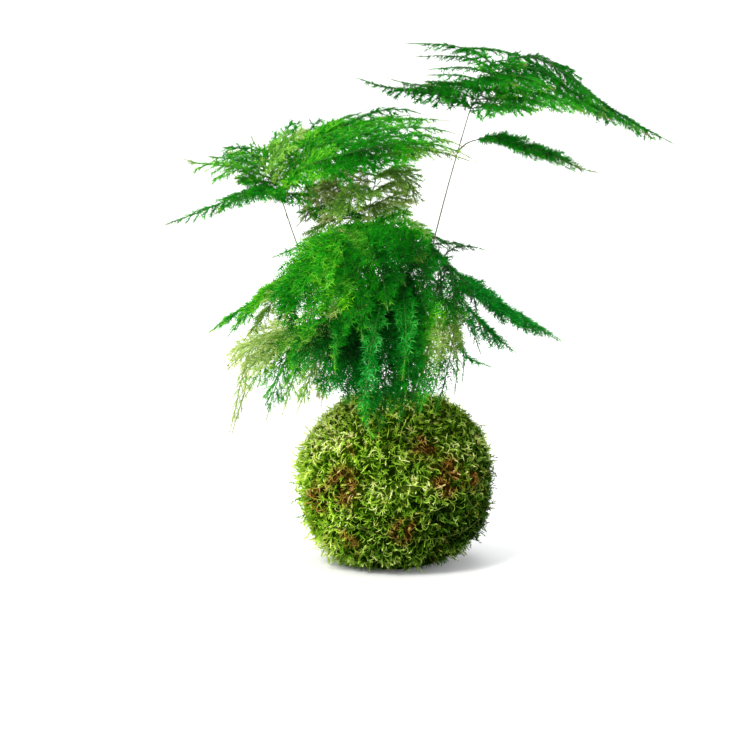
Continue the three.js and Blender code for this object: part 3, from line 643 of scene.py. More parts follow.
def nearest_on_lines(point, lines):
    best = lines[0][0]
    for line in lines:
        start, piece = line[:-1], np.diff(line, axis=0)
        share = np.clip(((point - start) * piece).sum(1) / (piece ** 2).sum(1), 0, 1)
        near = start + piece * share[:, None]
        closest = near[np.argmin(np.linalg.norm(near - point, axis=1))]
        if np.linalg.norm(closest - point) < np.linalg.norm(best - point):
            best = closest
    return best


def make_object(name, points, faces, material=None, smooth=False, edges=()):
    """A new object from points in millimetres."""
    mesh = bpy.data.meshes.new(name)
    mesh.from_pydata((np.asarray(points) * MM).tolist(), list(edges), [list(face) for face in faces])
    if material:
        mesh.materials.append(material)
    mesh.polygons.foreach_set("use_smooth", [smooth] * len(mesh.polygons))
    mesh.update()
    piece = bpy.data.objects.new(name, mesh)
    bpy.context.scene.collection.objects.link(piece)
    return piece


def set_attribute(mesh, name, values):
    layer = mesh.attributes.new(name, "FLOAT", "POINT")
    layer.data.foreach_set("value", np.asarray(values, dtype=np.float32))


def settle(piece, slot, *nodes):
    """Hand a piece to the frame: it rides on the root body, and stands for its nodes."""
    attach(piece, "root")
    if nodes:
        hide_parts(*nodes)


class Solid:
    """Closed shapes gathered into one mesh, with numbers kept at their points."""

    def __init__(self):
        self.points = []
        self.faces = []
        self.numbers = {}

    def add(self, points, faces, **numbers):
        first = len(self.points)
        self.points.extend(np.asarray(points, float).tolist())
        self.faces.extend([index + first for index in face] for face in faces)
        for name, values in numbers.items():
            values = np.broadcast_to(values, len(points))
            self.numbers.setdefault(name, []).extend(values.tolist())

    def make(self, name, material=None, smooth=False):
        piece = make_object(name, self.points, self.faces, material, smooth)
        for key, values in self.numbers.items():
            set_attribute(piece.data, key, values)
        return piece


def band_faces(rows, sides, closed=False):
    """Faces between rings of points, and from the last ring to the first where they close."""
    faces = []
    for row in range(rows if closed else rows - 1):
        ahead = ((row + 1) % rows - row) * sides
        for k in range(sides):
            a, b = row * sides + k, row * sides + (k + 1) % sides
            faces.append([a, b, b + ahead, a + ahead])
    return faces


def tube(line, radii, sides):
    """A closed tube's points and faces along a line, with a flat cap at each end."""
    line = np.asarray(line, float)
    tangents = unit(np.gradient(line, axis=0))
    side = np.cross(tangents[0], UP if abs(tangents[0][2]) < 0.9 else np.array([1.0, 0, 0]))
    angles = FULL_TURN * np.arange(sides) / sides
    rings = []
    for point, tangent, radius in zip(line, tangents, np.broadcast_to(radii, len(line))):
        side = unit(side - tangent * np.dot(side, tangent))
        other = np.cross(tangent, side)
        rings.append(point + radius * (np.outer(np.cos(angles), side) + np.outer(np.sin(angles), other)))
    caps = [list(range(sides))[::-1], [(len(line) - 1) * sides + k for k in range(sides)]]
    return np.vstack(rings), caps + band_faces(len(line), sides)


def leaf_ways(lean, angle):
    """The direction of a leaf that leans from +Z toward an angle round it, and the way across it."""
    direction = np.array([math.sin(lean) * math.cos(angle), math.sin(lean) * math.sin(angle),
                          math.cos(lean)])
    return direction, np.array([-math.sin(angle), math.cos(angle), 0.0])


def blade(root, direction, across, length, half_width, half_depth):
    """A thin four-faced leaf that narrows to its tip."""
    over = np.cross(direction, across)
    points = [root + across * half_width, root - across * half_width,
              root + over * half_depth, root + direction * length]
    return points, [[0, 1, 3], [1, 2, 3], [2, 0, 3], [0, 2, 1]]


# The ball

def ball_radius(way):
    """Distance from the ball's centre to the moss's smooth outside, toward unit directions."""
    x, y, z = way.T
    level = np.hypot(x, y) / BALL_RADIUS
    upright = np.abs(z) / np.where(z > 0, BALL_RISE, BALL_DROP)
    power = np.where(z > 0, ROUNDNESS_ABOVE, ROUNDNESS_BELOW)
    rounded = (level ** power + upright ** power) ** (-1 / power)
    lump = np.sin(4.1 * x + 0.6) * np.cos(3.7 * z - 0.4) + 0.6 * np.sin(5.2 * y + 2.9 * z)
    return rounded + MOSS_LUMP * lump


def winding_turn(lean, compass):
    lean, compass = math.radians(lean), math.radians(compass)
    tilt = np.array([[1, 0, 0], [0, math.cos(lean), -math.sin(lean)], [0, math.sin(lean), math.cos(lean)]])
    spin = np.array([[math.cos(compass), -math.sin(compass), 0],
                     [math.sin(compass), math.cos(compass), 0], [0, 0, 1]])
    return spin @ tilt


def wave_sum(way, waves):
    x, y, z = way.T
    return sum(np.sin(a * x + b * y + c * z + start) for a, b, c, start in waves)


def tuft_depth(way):
    """Depth of the moss's hollows, and of the valley pressed in along each winding."""
    x, y, z = way.T
    grain = np.sin(53 * x + 31 * y + 17 * z) * np.cos(29 * x - 47 * y + 37 * z)
    tufts = MOSS_RELIEF * (0.5 - wave_sum(way, RIPPLES) / 8 - grain / 4)
    nearest = np.full(len(way), 100.0)
    for lean, compass, height in WINDINGS:
        axis = winding_turn(lean, compass) @ UP
        nearest = np.minimum(nearest, np.abs((way @ axis) * ball_radius(way) - height))
    pressed = THREAD_PRESS * (1 - smoothstep(nearest, PRESS_WIDTH, 2 * PRESS_WIDTH))
    return np.maximum(np.maximum(tufts, pressed), 0) * (1 - smoothstep(-z, *HOLLOWS_FADE))


def row_directions(angles):
    """Unit directions for rows of latitude, each all the way round."""
    compass = FULL_TURN * np.arange(BED_SIDES) / BED_SIDES
    return [np.column_stack([math.cos(angle) * np.cos(compass), math.cos(angle) * np.sin(compass),
                             np.full(BED_SIDES, math.sin(angle))]) for angle in angles]


def make_bed(material):
    """The moss's closed underlayer: its outside, the rim round the stems, and its inside."""
    rim = math.pi / 2 - math.radians(OPENING_LEAN)
    outer = np.vstack(row_directions(np.linspace(-math.pi / 2, rim, BED_OUTER_ROWS + 1)[1:]))
    inner = np.vstack(row_directions(np.linspace(rim, -math.pi / 2, BED_INNER_ROWS + 1)[:-1]))
    down = np.array([[0.0, 0.0, -1.0]])
    depth = tuft_depth(outer)
    wall = MOSS_THICKNESS - SEAT_GAP
    way = np.vstack([outer, inner, down, down])
    sink = np.concatenate([depth + BED_SINK - BED_GRAIN * wave_sum(outer, BED_WAVES) / len(BED_WAVES),
                           np.full(len(inner), wall), [0, wall]])
    points = BALL_CENTRE + way * (ball_radius(way) - sink)[:, None]
    points[:, 2] = np.maximum(points[:, 2], BED_CLEARANCE)
    points[-1, 2] = max(points[-1, 2], BED_CLEARANCE + POLE_THICKNESS)
    faces = band_faces(BED_OUTER_ROWS + BED_INNER_ROWS, BED_SIDES)
    last = (BED_OUTER_ROWS + BED_INNER_ROWS - 1) * BED_SIDES
    for k in range(BED_SIDES):
        faces.append([len(points) - 2, (k + 1) % BED_SIDES, k])
        faces.append([len(points) - 1, last + k, last + (k + 1) % BED_SIDES])
    bed = make_object("moss_bed", points, faces, material, smooth=True)
    height = outer[:, 2]
    hidden = len(points) - len(outer)
    cover = smoothstep(height, *SHOOTS_BEGIN) * (1 - smoothstep(height, *SHOOTS_END))
    vigour = 1 + LUSH_GAIN * smoothstep(outer @ LUSH_SIDE, *LUSH_NEARNESS)
    set_attribute(bed.data, "cover", np.append(cover, np.zeros(hidden)))
    set_attribute(bed.data, "vigour", np.append(vigour, np.ones(hidden)))
    # How deep each point lies in a hollow; the moss's colour darkens with it as painted shade
    set_attribute(bed.data, "hollow", np.append(smoothstep(depth, *HOLLOW_DEPTHS), np.ones(hidden)))
    return bed


def make_thread():
    """The four windings, each a fine closed ring pressed into the moss."""
    thread = Solid()
    turn = FULL_TURN * np.arange(THREAD_STEPS) / THREAD_STEPS
    angles = FULL_TURN * np.arange(THREAD_SIDES) / THREAD_SIDES
    faces = [face[::-1] for face in band_faces(THREAD_STEPS, THREAD_SIDES, closed=True)]
    for lean, compass, height in WINDINGS:
        ring = np.column_stack([np.cos(turn) * BALL_RADIUS, np.sin(turn) * BALL_RADIUS,
                                np.full(THREAD_STEPS, height)])
        way = unit(ring @ winding_turn(lean, compass).T)
        reach = ball_radius(way) - THREAD_DEPTH
        line = BALL_CENTRE + way * reach[:, None]
        ahead = unit(np.roll(line, -1, axis=0) - np.roll(line, 1, axis=0))
        side = unit(np.cross(ahead, way))
        over = np.cross(side, ahead)
        rings = (line[:, None] + THREAD_RADIUS * (np.cos(angles)[None, :, None] * side[:, None]
                                                  + np.sin(angles)[None, :, None] * over[:, None]))
        thread.add(rings.reshape(-1, 3), faces)
    settle(thread.make("thread_windings", thread_material(), smooth=True), "thread", "binding_thread")


# Node trees

def find_socket(sockets, key):
    """A socket by its identifier, or else by its name."""
    for socket in sockets:
        if socket.identifier == key:
            return socket
    return sockets[key]


class Tree:
    """Adds nodes to a node tree: their settings first, then each input's link or value."""

    def __init__(self, tree):
        self.tree = tree

    def add(self, kind, settings=None, inputs=None):
        node = self.tree.nodes.new(kind)
        for key, value in (settings or {}).items():
            setattr(node, key, value)
        for key, value in (inputs or {}).items():
            socket = find_socket(node.inputs, key)
            if isinstance(value, Value):
                value = value.socket
            if isinstance(value, bpy.types.NodeSocket):
                self.tree.links.new(value, socket)
            else:
                socket.default_value = value
        return node

    def get(self, output, kind, settings=None, inputs=None):
        return find_socket(self.add(kind, settings, inputs).outputs, output)


class Value:
    """A number in a material, so that arithmetic on it adds Math nodes."""

    def __init__(self, paint, socket):
        self.paint = paint
        self.socket = socket

    def __add__(self, other):
        return self.paint.math("ADD", self, other)

    __radd__ = __add__

    def __mul__(self, other):
        return self.paint.math("MULTIPLY", self, other)

    __rmul__ = __mul__

    def __sub__(self, other):
        return self.paint.math("SUBTRACT", self, other)

    def __rsub__(self, other):
        return self.paint.math("SUBTRACT", other, self)

    def __pow__(self, other):
        return self.paint.math("POWER", self, other)


class Paint(Tree):
    """One material, built from numbers, colours and noise on the object's own coordinates."""

    def __init__(self, name):
        self.material = bpy.data.materials.new(name)
        self.material.use_nodes = True
        super().__init__(self.material.node_tree)
        self.tree.nodes.clear()
        self.place = self.get("Object", "ShaderNodeTexCoord")

    def math(self, operation, first, second=0.5):
        inputs = {"Value": first, "Value_001": second}
        return Value(self, self.get("Value", "ShaderNodeMath", {"operation": operation}, inputs))

    def clamp(self, value):
        return Value(self, self.get("Result", "ShaderNodeClamp", inputs={"Value": value}))

    def step(self, value, low, high):
        """A smooth step from 0 at low to 1 at high."""
        inputs = {"Value": value, "From Min": low, "From Max": high}
        settings = {"interpolation_type": "SMOOTHSTEP"}
        return Value(self, self.get("Result", "ShaderNodeMapRange", settings, inputs))

    def attribute(self, name):
        return Value(self, self.get("Fac", "ShaderNodeAttribute", {"attribute_name": name}))

    def axes(self):
        node = self.add("ShaderNodeSeparateXYZ", inputs={"Vector": self.place})
        return [Value(self, node.outputs[k]) for k in range(3)]

    def noise(self, scale, detail=3.0, roughness=0.6):
        inputs = {"Vector": self.place, "Scale": scale, "Detail": detail, "Roughness": roughness}
        return Value(self, self.get("Fac", "ShaderNodeTexNoise", inputs=inputs))

    def spot(self, centre, size):
        """1 at a point in metres, falling to 0 at a distance of size."""
        near = self.get("Value", "ShaderNodeVectorMath", {"operation": "DISTANCE"},
                        {"Vector": self.place, "Vector_001": centre})
        return 1 - self.step(Value(self, near), 0.35 * size, size)

    def mix(self, share, first, second):
        inputs = {"Factor_Float": share, "A_Color": first, "B_Color": second}
        return self.get("Result_Color", "ShaderNodeMix", {"data_type": "RGBA"}, inputs)

    def ramp(self, value, stops):
        """Colours between which a number from 0 to 1 moves."""
        node = self.add("ShaderNodeValToRGB", inputs={"Fac": value})
        elements = node.color_ramp.elements
        while len(elements) < len(stops):
            elements.new(0.5)
        for element, (place, colour) in zip(elements, stops):
            element.position = place
            element.color = colour
        return node.outputs["Color"]

    def bump(self, height, strength, distance):
        inputs = {"Height": height, "Strength": strength, "Distance": distance}
        return self.get("Normal", "ShaderNodeBump", inputs=inputs)

    def finish(self, colour, roughness, bump=None, specular=0.3, glow=None):
        inputs = {"Base Color": colour, "Roughness": roughness, "Specular IOR Level": specular}
        if bump:
            inputs["Normal"] = bump
        surface = self.get("BSDF", "ShaderNodeBsdfPrincipled", inputs=inputs)
        if glow:
            share, through = glow
            light = self.get("BSDF", "ShaderNodeBsdfTranslucent", inputs={"Color": through})
            surface = self.get("Shader", "ShaderNodeMixShader",
                               inputs={"Fac": share, "Shader": surface, "Shader_001": light})
        self.add("ShaderNodeOutputMaterial", inputs={"Surface": surface})
        return self.material


def srgb(red, green, blue):
    """A colour in the 0 to 255 steps of a picture, made linear."""
    def linear(value):
        value /= 255
        return value / 12.92 if value <= 0.04045 else ((value + 0.055) / 1.055) ** 2.4
    return (linear(red), linear(green), linear(blue), 1)


# Materials

def needle_material():
    """Fresh needles: deep green inside the spray and toward each needle's root as painted shade, yellow-green
    toward the lit tips, straw where thin.
    """
    paint = Paint("fresh_needles")
    tint, warmth = paint.attribute("tint"), paint.attribute("warmth")
    shade, along = paint.attribute("shade"), paint.attribute("along")
    # Each needle is darker toward its root as painted shade and lighter toward its tip
    light = paint.clamp(tint + 0.42 * (shade - 0.5) + 0.3 * (along - 0.4))
    cool = paint.ramp(light, [(0, srgb(0, 36, 4)), (0.35, srgb(0, 88, 12)),
                              (0.7, srgb(2, 132, 28)), (1, srgb(60, 190, 80))])
    warm = paint.ramp(light, [(0, srgb(0, 44, 0)), (0.35, srgb(0, 104, 0)),
                              (0.7, srgb(30, 160, 0)), (1, srgb(140, 220, 20))])
    straw = paint.ramp(light, [(0, srgb(20, 62, 4)), (0.5, srgb(140, 156, 66)), (1, srgb(226, 220, 156))])
    green = paint.mix(paint.clamp(warmth), cool, warm)
    colour = paint.mix(paint.clamp(warmth - 1.0), green, straw)
    return paint.finish(colour, 0.55 + 0.12 * paint.noise(900.0), specular=0.05,
                        glow=(0.08, srgb(40, 200, 0)))


def twig_material():
    """Green wiry twigs, lighter and darker with the tint they carry, which holds the spray's painted shade
    and light, and browner at their bare tips.
    """
    paint = Paint("green_twig")
    tint, brown = paint.attribute("tint"), paint.attribute("brown")
    streak = paint.noise(700.0)
    green = paint.ramp(paint.clamp(tint + 0.4 * (streak - 0.5)),
                       [(0, srgb(16, 62, 10)), (0.5, srgb(52, 110, 24)), (1, srgb(120, 160, 60))])
    colour = paint.mix(brown, green, paint.mix(streak, srgb(96, 66, 30), srgb(150, 118, 66)))
    return paint.finish(colour, 0.5 + 0.2 * streak, paint.bump(streak, 0.2, 0.0002))


def stem_material():
    """Wiry stems: olive below, greener above, with fine lengthwise mottling and dark nodes."""
    paint = Paint("wiry_stem")
    height = paint.axes()[2]
    mottle = paint.noise(420.0, 5.0)
    low = paint.mix(mottle, srgb(50, 40, 18), srgb(98, 88, 40))
    high = paint.mix(mottle, srgb(24, 44, 10), srgb(78, 96, 38))
    colour = paint.mix(paint.step(height, 0.1, 0.2), low, high)
    colour = paint.mix(paint.attribute("scale"), colour, srgb(84, 56, 28))
    return paint.finish(colour, 0.42 + 0.25 * mottle, paint.bump(mottle, 0.35, 0.0003), 0.4)


def moss_colour(paint, light, straw):
    """The moss's colours: painted light makes it lighter and yellow-green at the upper left, painted
    shade makes it darker low on the right and in its hollows, and it is brown in the dry patches."""
    x, _, z = paint.axes()
    patch = paint.noise(38.0, 4.0, 0.65)
    fine = paint.noise(150.0, 3.0)
    # side mixes a shaded and a lit copy of the moss's greens by place: painted light at the upper left,
    # painted shade low on the right, broken up by patches
    side = paint.clamp(0.54 - 10.0 * x + 7.0 * (z - 0.05) + 1.1 * (patch - 0.5))
    # A painted shadow, darker on the lower right of the ball
    under = paint.step(0.6 * x - z, -0.045, 0.015)
    # Painted light, lighter on the upper left of the ball
    lit = paint.step(z - 0.6 * x, 0.08, 0.12)
    # The hollow number darkens the moss as painted shade in its hollows
    light = paint.clamp(light + 0.9 * (fine - 0.5) - 0.48 * paint.attribute("hollow") - 0.3 * under
                        + 0.22 * lit + 0.22)
    # The first ramp is the moss in painted shade, the next the moss in painted light, also a fresher
    # yellow-green
    dark = paint.ramp(light, [(0, srgb(2, 10, 0)), (0.4, srgb(42, 76, 14)),
                              (0.75, srgb(104, 146, 54)), (1, srgb(206, 220, 124))])
    lit_fresh_moss = paint.ramp(light, [(0, srgb(18, 44, 2)), (0.4, srgb(112, 172, 26)),
                               (0.75, srgb(204, 238, 78)), (1, srgb(248, 252, 176))])
    green = paint.mix(side, dark, lit_fresh_moss)
    yellow = paint.ramp(light, [(0, srgb(40, 32, 6)), (0.5, srgb(140, 128, 44)), (1, srgb(226, 214, 136))])
    green = paint.mix(0.6 * straw, green, yellow)
    dry = 0.0
    for centre, size in DRY_PATCHES:
        patch_here = paint.spot([MM * value for value in centre], MM * size)
        dry = paint.math("MAXIMUM", dry, patch_here)
    dry = paint.clamp(1.4 * dry * paint.step(fine, 0.38, 0.56) + paint.step(patch, 0.66, 0.76))
    brown = paint.ramp(light, [(0, srgb(36, 14, 2)), (0.4, srgb(108, 62, 22)),
                               (0.75, srgb(166, 116, 56)), (1, srgb(220, 190, 126))])
    return paint.mix(0.9 * dry, green, brown)


def shoot_material():
    paint = Paint("moss_shoot")
    shade, along = paint.attribute("shade"), paint.attribute("along")
    # Lighter toward each shoot's tip and darker at its base, the dark base partly painted shade between the
    # shoots
    light = paint.clamp(0.06 + 0.46 * shade + 0.54 * along)
    colour = moss_colour(paint, light, paint.step(paint.math("PINGPONG", 7.0 * shade, 1.0), 0.86, 0.92))
    return paint.finish(colour, 0.7 + 0.2 * shade, specular=0.02, glow=(0.12, srgb(150, 190, 10)))


def bed_material():
    """The moss's felted underlayer, seen between its shoots, painted mostly near black as the shade between
    them, with its own moss colour in fine threads.
    """
    paint = Paint("moss_underlayer")
    felt = paint.noise(800.0, 6.0, 0.7)
    threads = paint.step(paint.noise(520.0, 2.0), 0.52, 0.66)
    # The near black stands for the shade between the shoots: painted shade
    colour = paint.mix(0.9 - 0.55 * threads, moss_colour(paint, 0.1 + 0.5 * felt, 0.0), srgb(6, 9, 0))
    return paint.finish(colour, 0.95, paint.bump(felt, 0.9, 0.0012), 0.0)


def soil_material():
    paint = Paint("damp_soil")
    crumb, grit = paint.noise(260.0, 8.0, 0.7), paint.noise(1100.0, 2.0)
    colour = paint.ramp(0.7 * crumb + 0.3 * grit, [(0.3, srgb(22, 13, 7)), (0.5, srgb(52, 34, 20)),
                                                   (0.72, srgb(96, 70, 46))])
    return paint.finish(colour, 0.7 + 0.3 * crumb, paint.bump(crumb, 0.8, 0.002), 0.25)


def thread_material():
    """Dark green cotton, with a fine twist."""
    paint = Paint("binding_thread_cotton")
    x, y, z = paint.axes()
    twist = paint.math("SINE", (x + y + z) * 9000.0)
    fuzz = paint.noise(2500.0)
    light = paint.clamp(0.5 + 0.4 * twist + 0.3 * (fuzz - 0.5))
    colour = paint.mix(light, srgb(30, 42, 6), srgb(84, 98, 30))
    return paint.finish(colour, 0.85, paint.bump(twist, 0.4, 0.0002), 0.15)


def stage_material():
    """Pale matt paper, lit a little from within away from the ball."""
    paint = Paint("studio_floor")
    colour = paint.mix(paint.noise(3.0), (0.86, 0.86, 0.86, 1), (0.88, 0.88, 0.88, 1))
    x, y, _ = paint.axes()
    away = (x * x + y * y) ** 0.5
    glow = paint.mix(paint.step(away, 0.3, 1.2), (0, 0, 0, 1), (0.5, 0.5, 0.5, 1))
    surface = paint.get("BSDF", "ShaderNodeBsdfPrincipled", inputs={
        "Base Color": colour, "Roughness": 0.8, "Emission Color": glow, "Emission Strength": 1.0})
    paint.add("ShaderNodeOutputMaterial", inputs={"Surface": surface})
    return paint.material


# Repeats

def kinds_collection(name, pieces):
    """A collection of small shapes for a node tree to repeat."""
    collection = bpy.data.collections.new(name)
    bpy.context.scene.collection.children.link(collection)
    for piece in pieces:
        bpy.context.scene.collection.objects.unlink(piece)
        collection.objects.link(piece)
    return collection


def drop_collection(collection):
    for piece in list(collection.objects):
        mesh = piece.data
        bpy.data.objects.remove(piece)
        bpy.data.meshes.remove(mesh)
    bpy.data.collections.remove(collection)


class GeometryTree(Tree):
    """A geometry node tree with named inputs, each given as its socket's type."""

    def __init__(self, name, inputs):
        group = bpy.data.node_groups.new(name, "GeometryNodeTree")
        group.interface.new_socket("Geometry", in_out="INPUT", socket_type="NodeSocketGeometry")
        for key, kind in inputs.items():
            group.interface.new_socket(key, in_out="INPUT", socket_type=kind)
        group.interface.new_socket("Geometry", in_out="OUTPUT", socket_type="NodeSocketGeometry")
        super().__init__(group)
        self.given = self.add("NodeGroupInput").outputs

    def number(self, name):
        """A number kept at the points."""
        return self.get("Attribute", "GeometryNodeInputNamedAttribute", {"data_type": "FLOAT"},
                        {"Name": name})

    def chance(self, low, high, seed):
        return self.get("Value_001", "FunctionNodeRandomValue", {"data_type": "FLOAT"},
                        {"Min_001": low, "Max_001": high, "Seed": seed})

    def times(self, first, second):
        return self.get("Value", "ShaderNodeMath", {"operation": "MULTIPLY"},
                        {"Value": first, "Value_001": second})

    def compare(self, number, operation, limit):
        return self.get("Result", "FunctionNodeCompare", {"data_type": "FLOAT", "operation": operation},
                        {"A": number, "B": limit})

    def shaded(self, points, seed):
        """Points that each keep a shade of their own."""
        settings = {"data_type": "FLOAT", "domain": "POINT"}
        inputs = {"Geometry": points, "Name": "shade", "Value": self.chance(0.0, 1.0, seed)}
        return self.get("Geometry", "GeometryNodeStoreNamedAttribute", settings, inputs)

    def spun(self, rotation, seed):
        """A rotation turned by chance about its own Z axis."""
        inputs = {"Axis": (0, 0, 1), "Angle": self.chance(0.0, FULL_TURN, seed)}
        spin = self.get("Rotation", "FunctionNodeAxisAngleToRotation", inputs=inputs)
        return self.get("Rotation", "FunctionNodeRotateRotation", {"rotation_space": "LOCAL"},
                        {"Rotation": rotation, "Rotate By": spin})

    def join(self, *parts):
        joined = self.add("GeometryNodeJoinGeometry")
        for part in parts:
            self.tree.links.new(part, joined.inputs[0])
        return joined.outputs[0]

    def painted(self, geometry, material):
        return self.get("Geometry", "GeometryNodeSetMaterial",
                        inputs={"Geometry": geometry, "Material": material})

    def repeated(self, shapes, last, seed, material, places):
        """Shapes of a collection put on points, one picked by chance for each, made real and painted."""
        kinds = self.get("Instances", "GeometryNodeCollectionInfo", inputs={
            "Collection": shapes, "Separate Children": True, "Reset Children": True})
        picked = self.get("Value_002", "FunctionNodeRandomValue", {"data_type": "INT"},
                          {"Min_002": 0, "Max_002": last, "Seed": seed})
        placed = self.get("Instances", "GeometryNodeInstanceOnPoints", inputs={
            "Instance": kinds, "Pick Instance": True, "Instance Index": picked, **places})
        real = self.get("Geometry", "GeometryNodeRealizeInstances", inputs={"Geometry": placed})
        return self.painted(real, material)

    def finish(self, geometry):
        self.add("NodeGroupOutput", inputs={"Geometry": geometry})
        return self.tree


def apply_tree(piece, group, values):
    """Run a geometry tree on a piece and keep the result as its plain mesh."""
    modifier = piece.modifiers.new(group.name, "NODES")
    modifier.node_group = group
    for item in group.interface.items_tree:
        if item.in_out == "INPUT" and item.name in values:
            modifier[item.identifier] = values[item.name]
    depsgraph = bpy.context.evaluated_depsgraph_get()
    evaluated = piece.evaluated_get(depsgraph)
    mesh = bpy.data.meshes.new_from_object(evaluated, preserve_all_data_layers=True, depsgraph=depsgraph)
    piece.modifiers.remove(modifier)
    before = piece.data
    piece.data = mesh
    bpy.data.meshes.remove(before)
    mesh.name = piece.name


def spray_tree(twig, needles):
    """Tubes along the middle lines of a spray, and whorls of needles along them."""
    tree = GeometryTree("spray", {
        "Whorls": "NodeSocketCollection", "Whorl spacing": "NodeSocketFloat", "Seed": "NodeSocketInt"})
    lines = tree.get("Curve", "GeometryNodeMeshToCurve", inputs={"Mesh": tree.given["Geometry"]})
    tubes = []
    for sides, operation in ((LIMB_SIDES, "GREATER_THAN"), (TWIG_SIDES, "LESS_THAN")):
        curves = tree.get("Selection", "GeometryNodeSeparateGeometry", {"domain": "CURVE"},
                          {"Geometry": lines, "Selection": tree.compare(tree.number("limb"), operation, 0.5)})
        circle = tree.get("Curve", "GeometryNodeCurvePrimitiveCircle", {"mode": "RADIUS"},
                          {"Resolution": sides, "Radius": 1.0})
        tubes.append(tree.get("Mesh", "GeometryNodeCurveToMesh", inputs={
            "Curve": curves, "Profile Curve": circle, "Scale": tree.number("radius"), "Fill Caps": True}))
    along = tree.add("GeometryNodeCurveToPoints", {"mode": "LENGTH"},
                     {"Curve": lines, "Length": tree.given["Whorl spacing"]})
    whorls = tree.repeated(tree.given["Whorls"], WHORL_KINDS - 1, 37, needles, {
        "Points": tree.shaded(along.outputs["Points"], tree.given["Seed"]),
        "Selection": tree.compare(tree.number("needles"), "GREATER_THAN", LEAST_NEEDLE_SIZE),
        "Rotation": tree.spun(along.outputs["Rotation"], 11),
        "Scale": tree.times(tree.number("needles"), tree.chance(*WHORL_SIZES, 23))})
    return tree.finish(tree.join(whorls, tree.painted(tree.join(*tubes), twig)))


def shoot_tree(material):
    """Moss shoots over the bed where its cover allows, leaning every way but mostly down."""
    tree = GeometryTree("moss", {
        "Shoots": "NodeSocketCollection", "Spacing": "NodeSocketFloat", "Seed": "NodeSocketInt",
        "Last kind": "NodeSocketInt"})
    given = tree.given
    spread = tree.add("GeometryNodeDistributePointsOnFaces", {"distribute_method": "POISSON"}, {
        "Mesh": given["Geometry"], "Distance Min": given["Spacing"], "Density Max": DENSEST_SHOOTS,
        "Density Factor": tree.number("cover"), "Seed": given["Seed"]})
    astray = tree.get("Value", "FunctionNodeRandomValue", {"data_type": "FLOAT_VECTOR"},
                      {"Min": STRAY_FROM, "Max": STRAY_TO, "Seed": 3})
    way = tree.get("Vector", "ShaderNodeVectorMath", {"operation": "ADD"},
                   {"Vector": spread.outputs["Normal"], "Vector_001": astray})
    leaned = tree.get("Rotation", "FunctionNodeAlignRotationToVector", {"axis": "Z"}, {"Vector": way})
    return tree.finish(tree.repeated(given["Shoots"], given["Last kind"], 9, material, {
        "Points": tree.shaded(spread.outputs["Points"], 5),
        "Rotation": tree.spun(leaned, 2),
        "Scale": tree.times(tree.number("vigour"), tree.chance(*SHOOT_SIZES, 6))}))


def make_whorl(kind, lean_out):
    """Needles around a twig that runs along +Z, each a slim four-faced spike."""
    whorl = Solid()
    for k in range(NEEDLES_IN_WHORL):
        angle = FULL_TURN * (k + 0.5 * draw(kind, k)) / NEEDLES_IN_WHORL
        direction, across = leaf_ways(lean_out + stray(0.6, kind, k, 2), angle)
        length = NEEDLE_LENGTH * (0.75 + 0.4 * draw(kind, k, 3))
        root = UP * stray(0.9, kind, k, 4)
        points, faces = blade(root, direction, across, length, NEEDLE_RADIUS, NEEDLE_RADIUS * 1.4)
        whorl.add(points, faces, along=np.array([0.0, 0.0, 0.0, 1.0]))
    return whorl.make(f"whorl_{kind}")


def make_feather_shoot(kind):
    """A curled strand of moss with small leaves pressed along it."""
    shoot = Solid()
    length = SHOOT_LENGTH * (0.75 + 0.5 * draw(kind, 6))
    t = np.linspace(0, 1, 4)
    turn = (0.4 + 2.0 * draw(kind, 5)) * t
    sway = stray(0.8, kind, 7)
    line = np.cumsum(np.column_stack([sway * t, np.sin(turn), np.cos(turn)]), axis=0)
    line = (line - line[0]) * length / line_length(line)
    points, faces = tube(line, np.linspace(*STRAND_RADII, len(t)), SHOOT_SIDES)
    shoot.add(points, faces, along=np.repeat(t, SHOOT_SIDES))
    for k in range(FEATHER_LEAVES):
        share = 0.15 + 0.85 * (k + 0.4) / FEATHER_LEAVES
        root, forward = along_line(line, share)
        aside = turned(unit(np.cross(forward, np.array([1.0, 0.3, 0.1]))), forward, kind + k * GOLDEN_ANGLE)
        lean = 0.8 - 0.3 * share
        direction = forward * math.cos(lean) + aside * math.sin(lean)
        size = FEATHER_LEAF_LENGTH * (1 - 0.35 * share) * (0.8 + 0.4 * draw(kind, k, 8))
        points, faces = blade(root, direction, np.cross(forward, aside), size,
                              FEATHER_LEAF_HALF_WIDTH, LEAF_HALF_DEPTH)
        shoot.add(points, faces, along=np.array([share, share, share, min(1.0, share + 0.35)]))
    return shoot.make(f"shoot_{kind}")


def make_star_shoot(kind):
    """A tuft of narrow leaves spreading from one point."""
    shoot = Solid()
    for k in range(STAR_LEAVES):
        lean = 0.15 + math.sqrt((k + 0.5) / STAR_LEAVES)
        direction, across = leaf_ways(lean, kind + k * GOLDEN_ANGLE)
        size = STAR_LEAF_LENGTH * (0.75 + 0.5 * draw(kind, k, 9))
        root = UP * 0.8 * draw(kind, k, 10)
        points, faces = blade(root, direction, across, size, STAR_LEAF_HALF_WIDTH, LEAF_HALF_DEPTH)
        shoot.add(points, faces, along=np.array([0.1, 0.1, 0.1, 1.0]))
    return shoot.make(f"shoot_{kind}")


def make_curl_shoot(kind):
    """A bare thin strand, curled over at its end."""
    shoot = Solid()
    t = np.linspace(0, 1, 7)
    turn = (2.2 + 1.8 * draw(kind, 12)) * t ** 1.4
    line = np.cumsum(np.column_stack([0.2 * np.sin(4 * t), np.sin(turn), np.cos(turn)]), axis=0)
    line = (line - line[0]) * 1.15 * SHOOT_LENGTH / (len(t) - 1)
    points, faces = tube(line, np.linspace(*CURL_RADII, len(t)), SHOOT_SIDES)
    shoot.add(points, faces, along=np.repeat(0.35 + 0.65 * t, SHOOT_SIDES))
    return shoot.make(f"shoot_{kind}")


# The plant

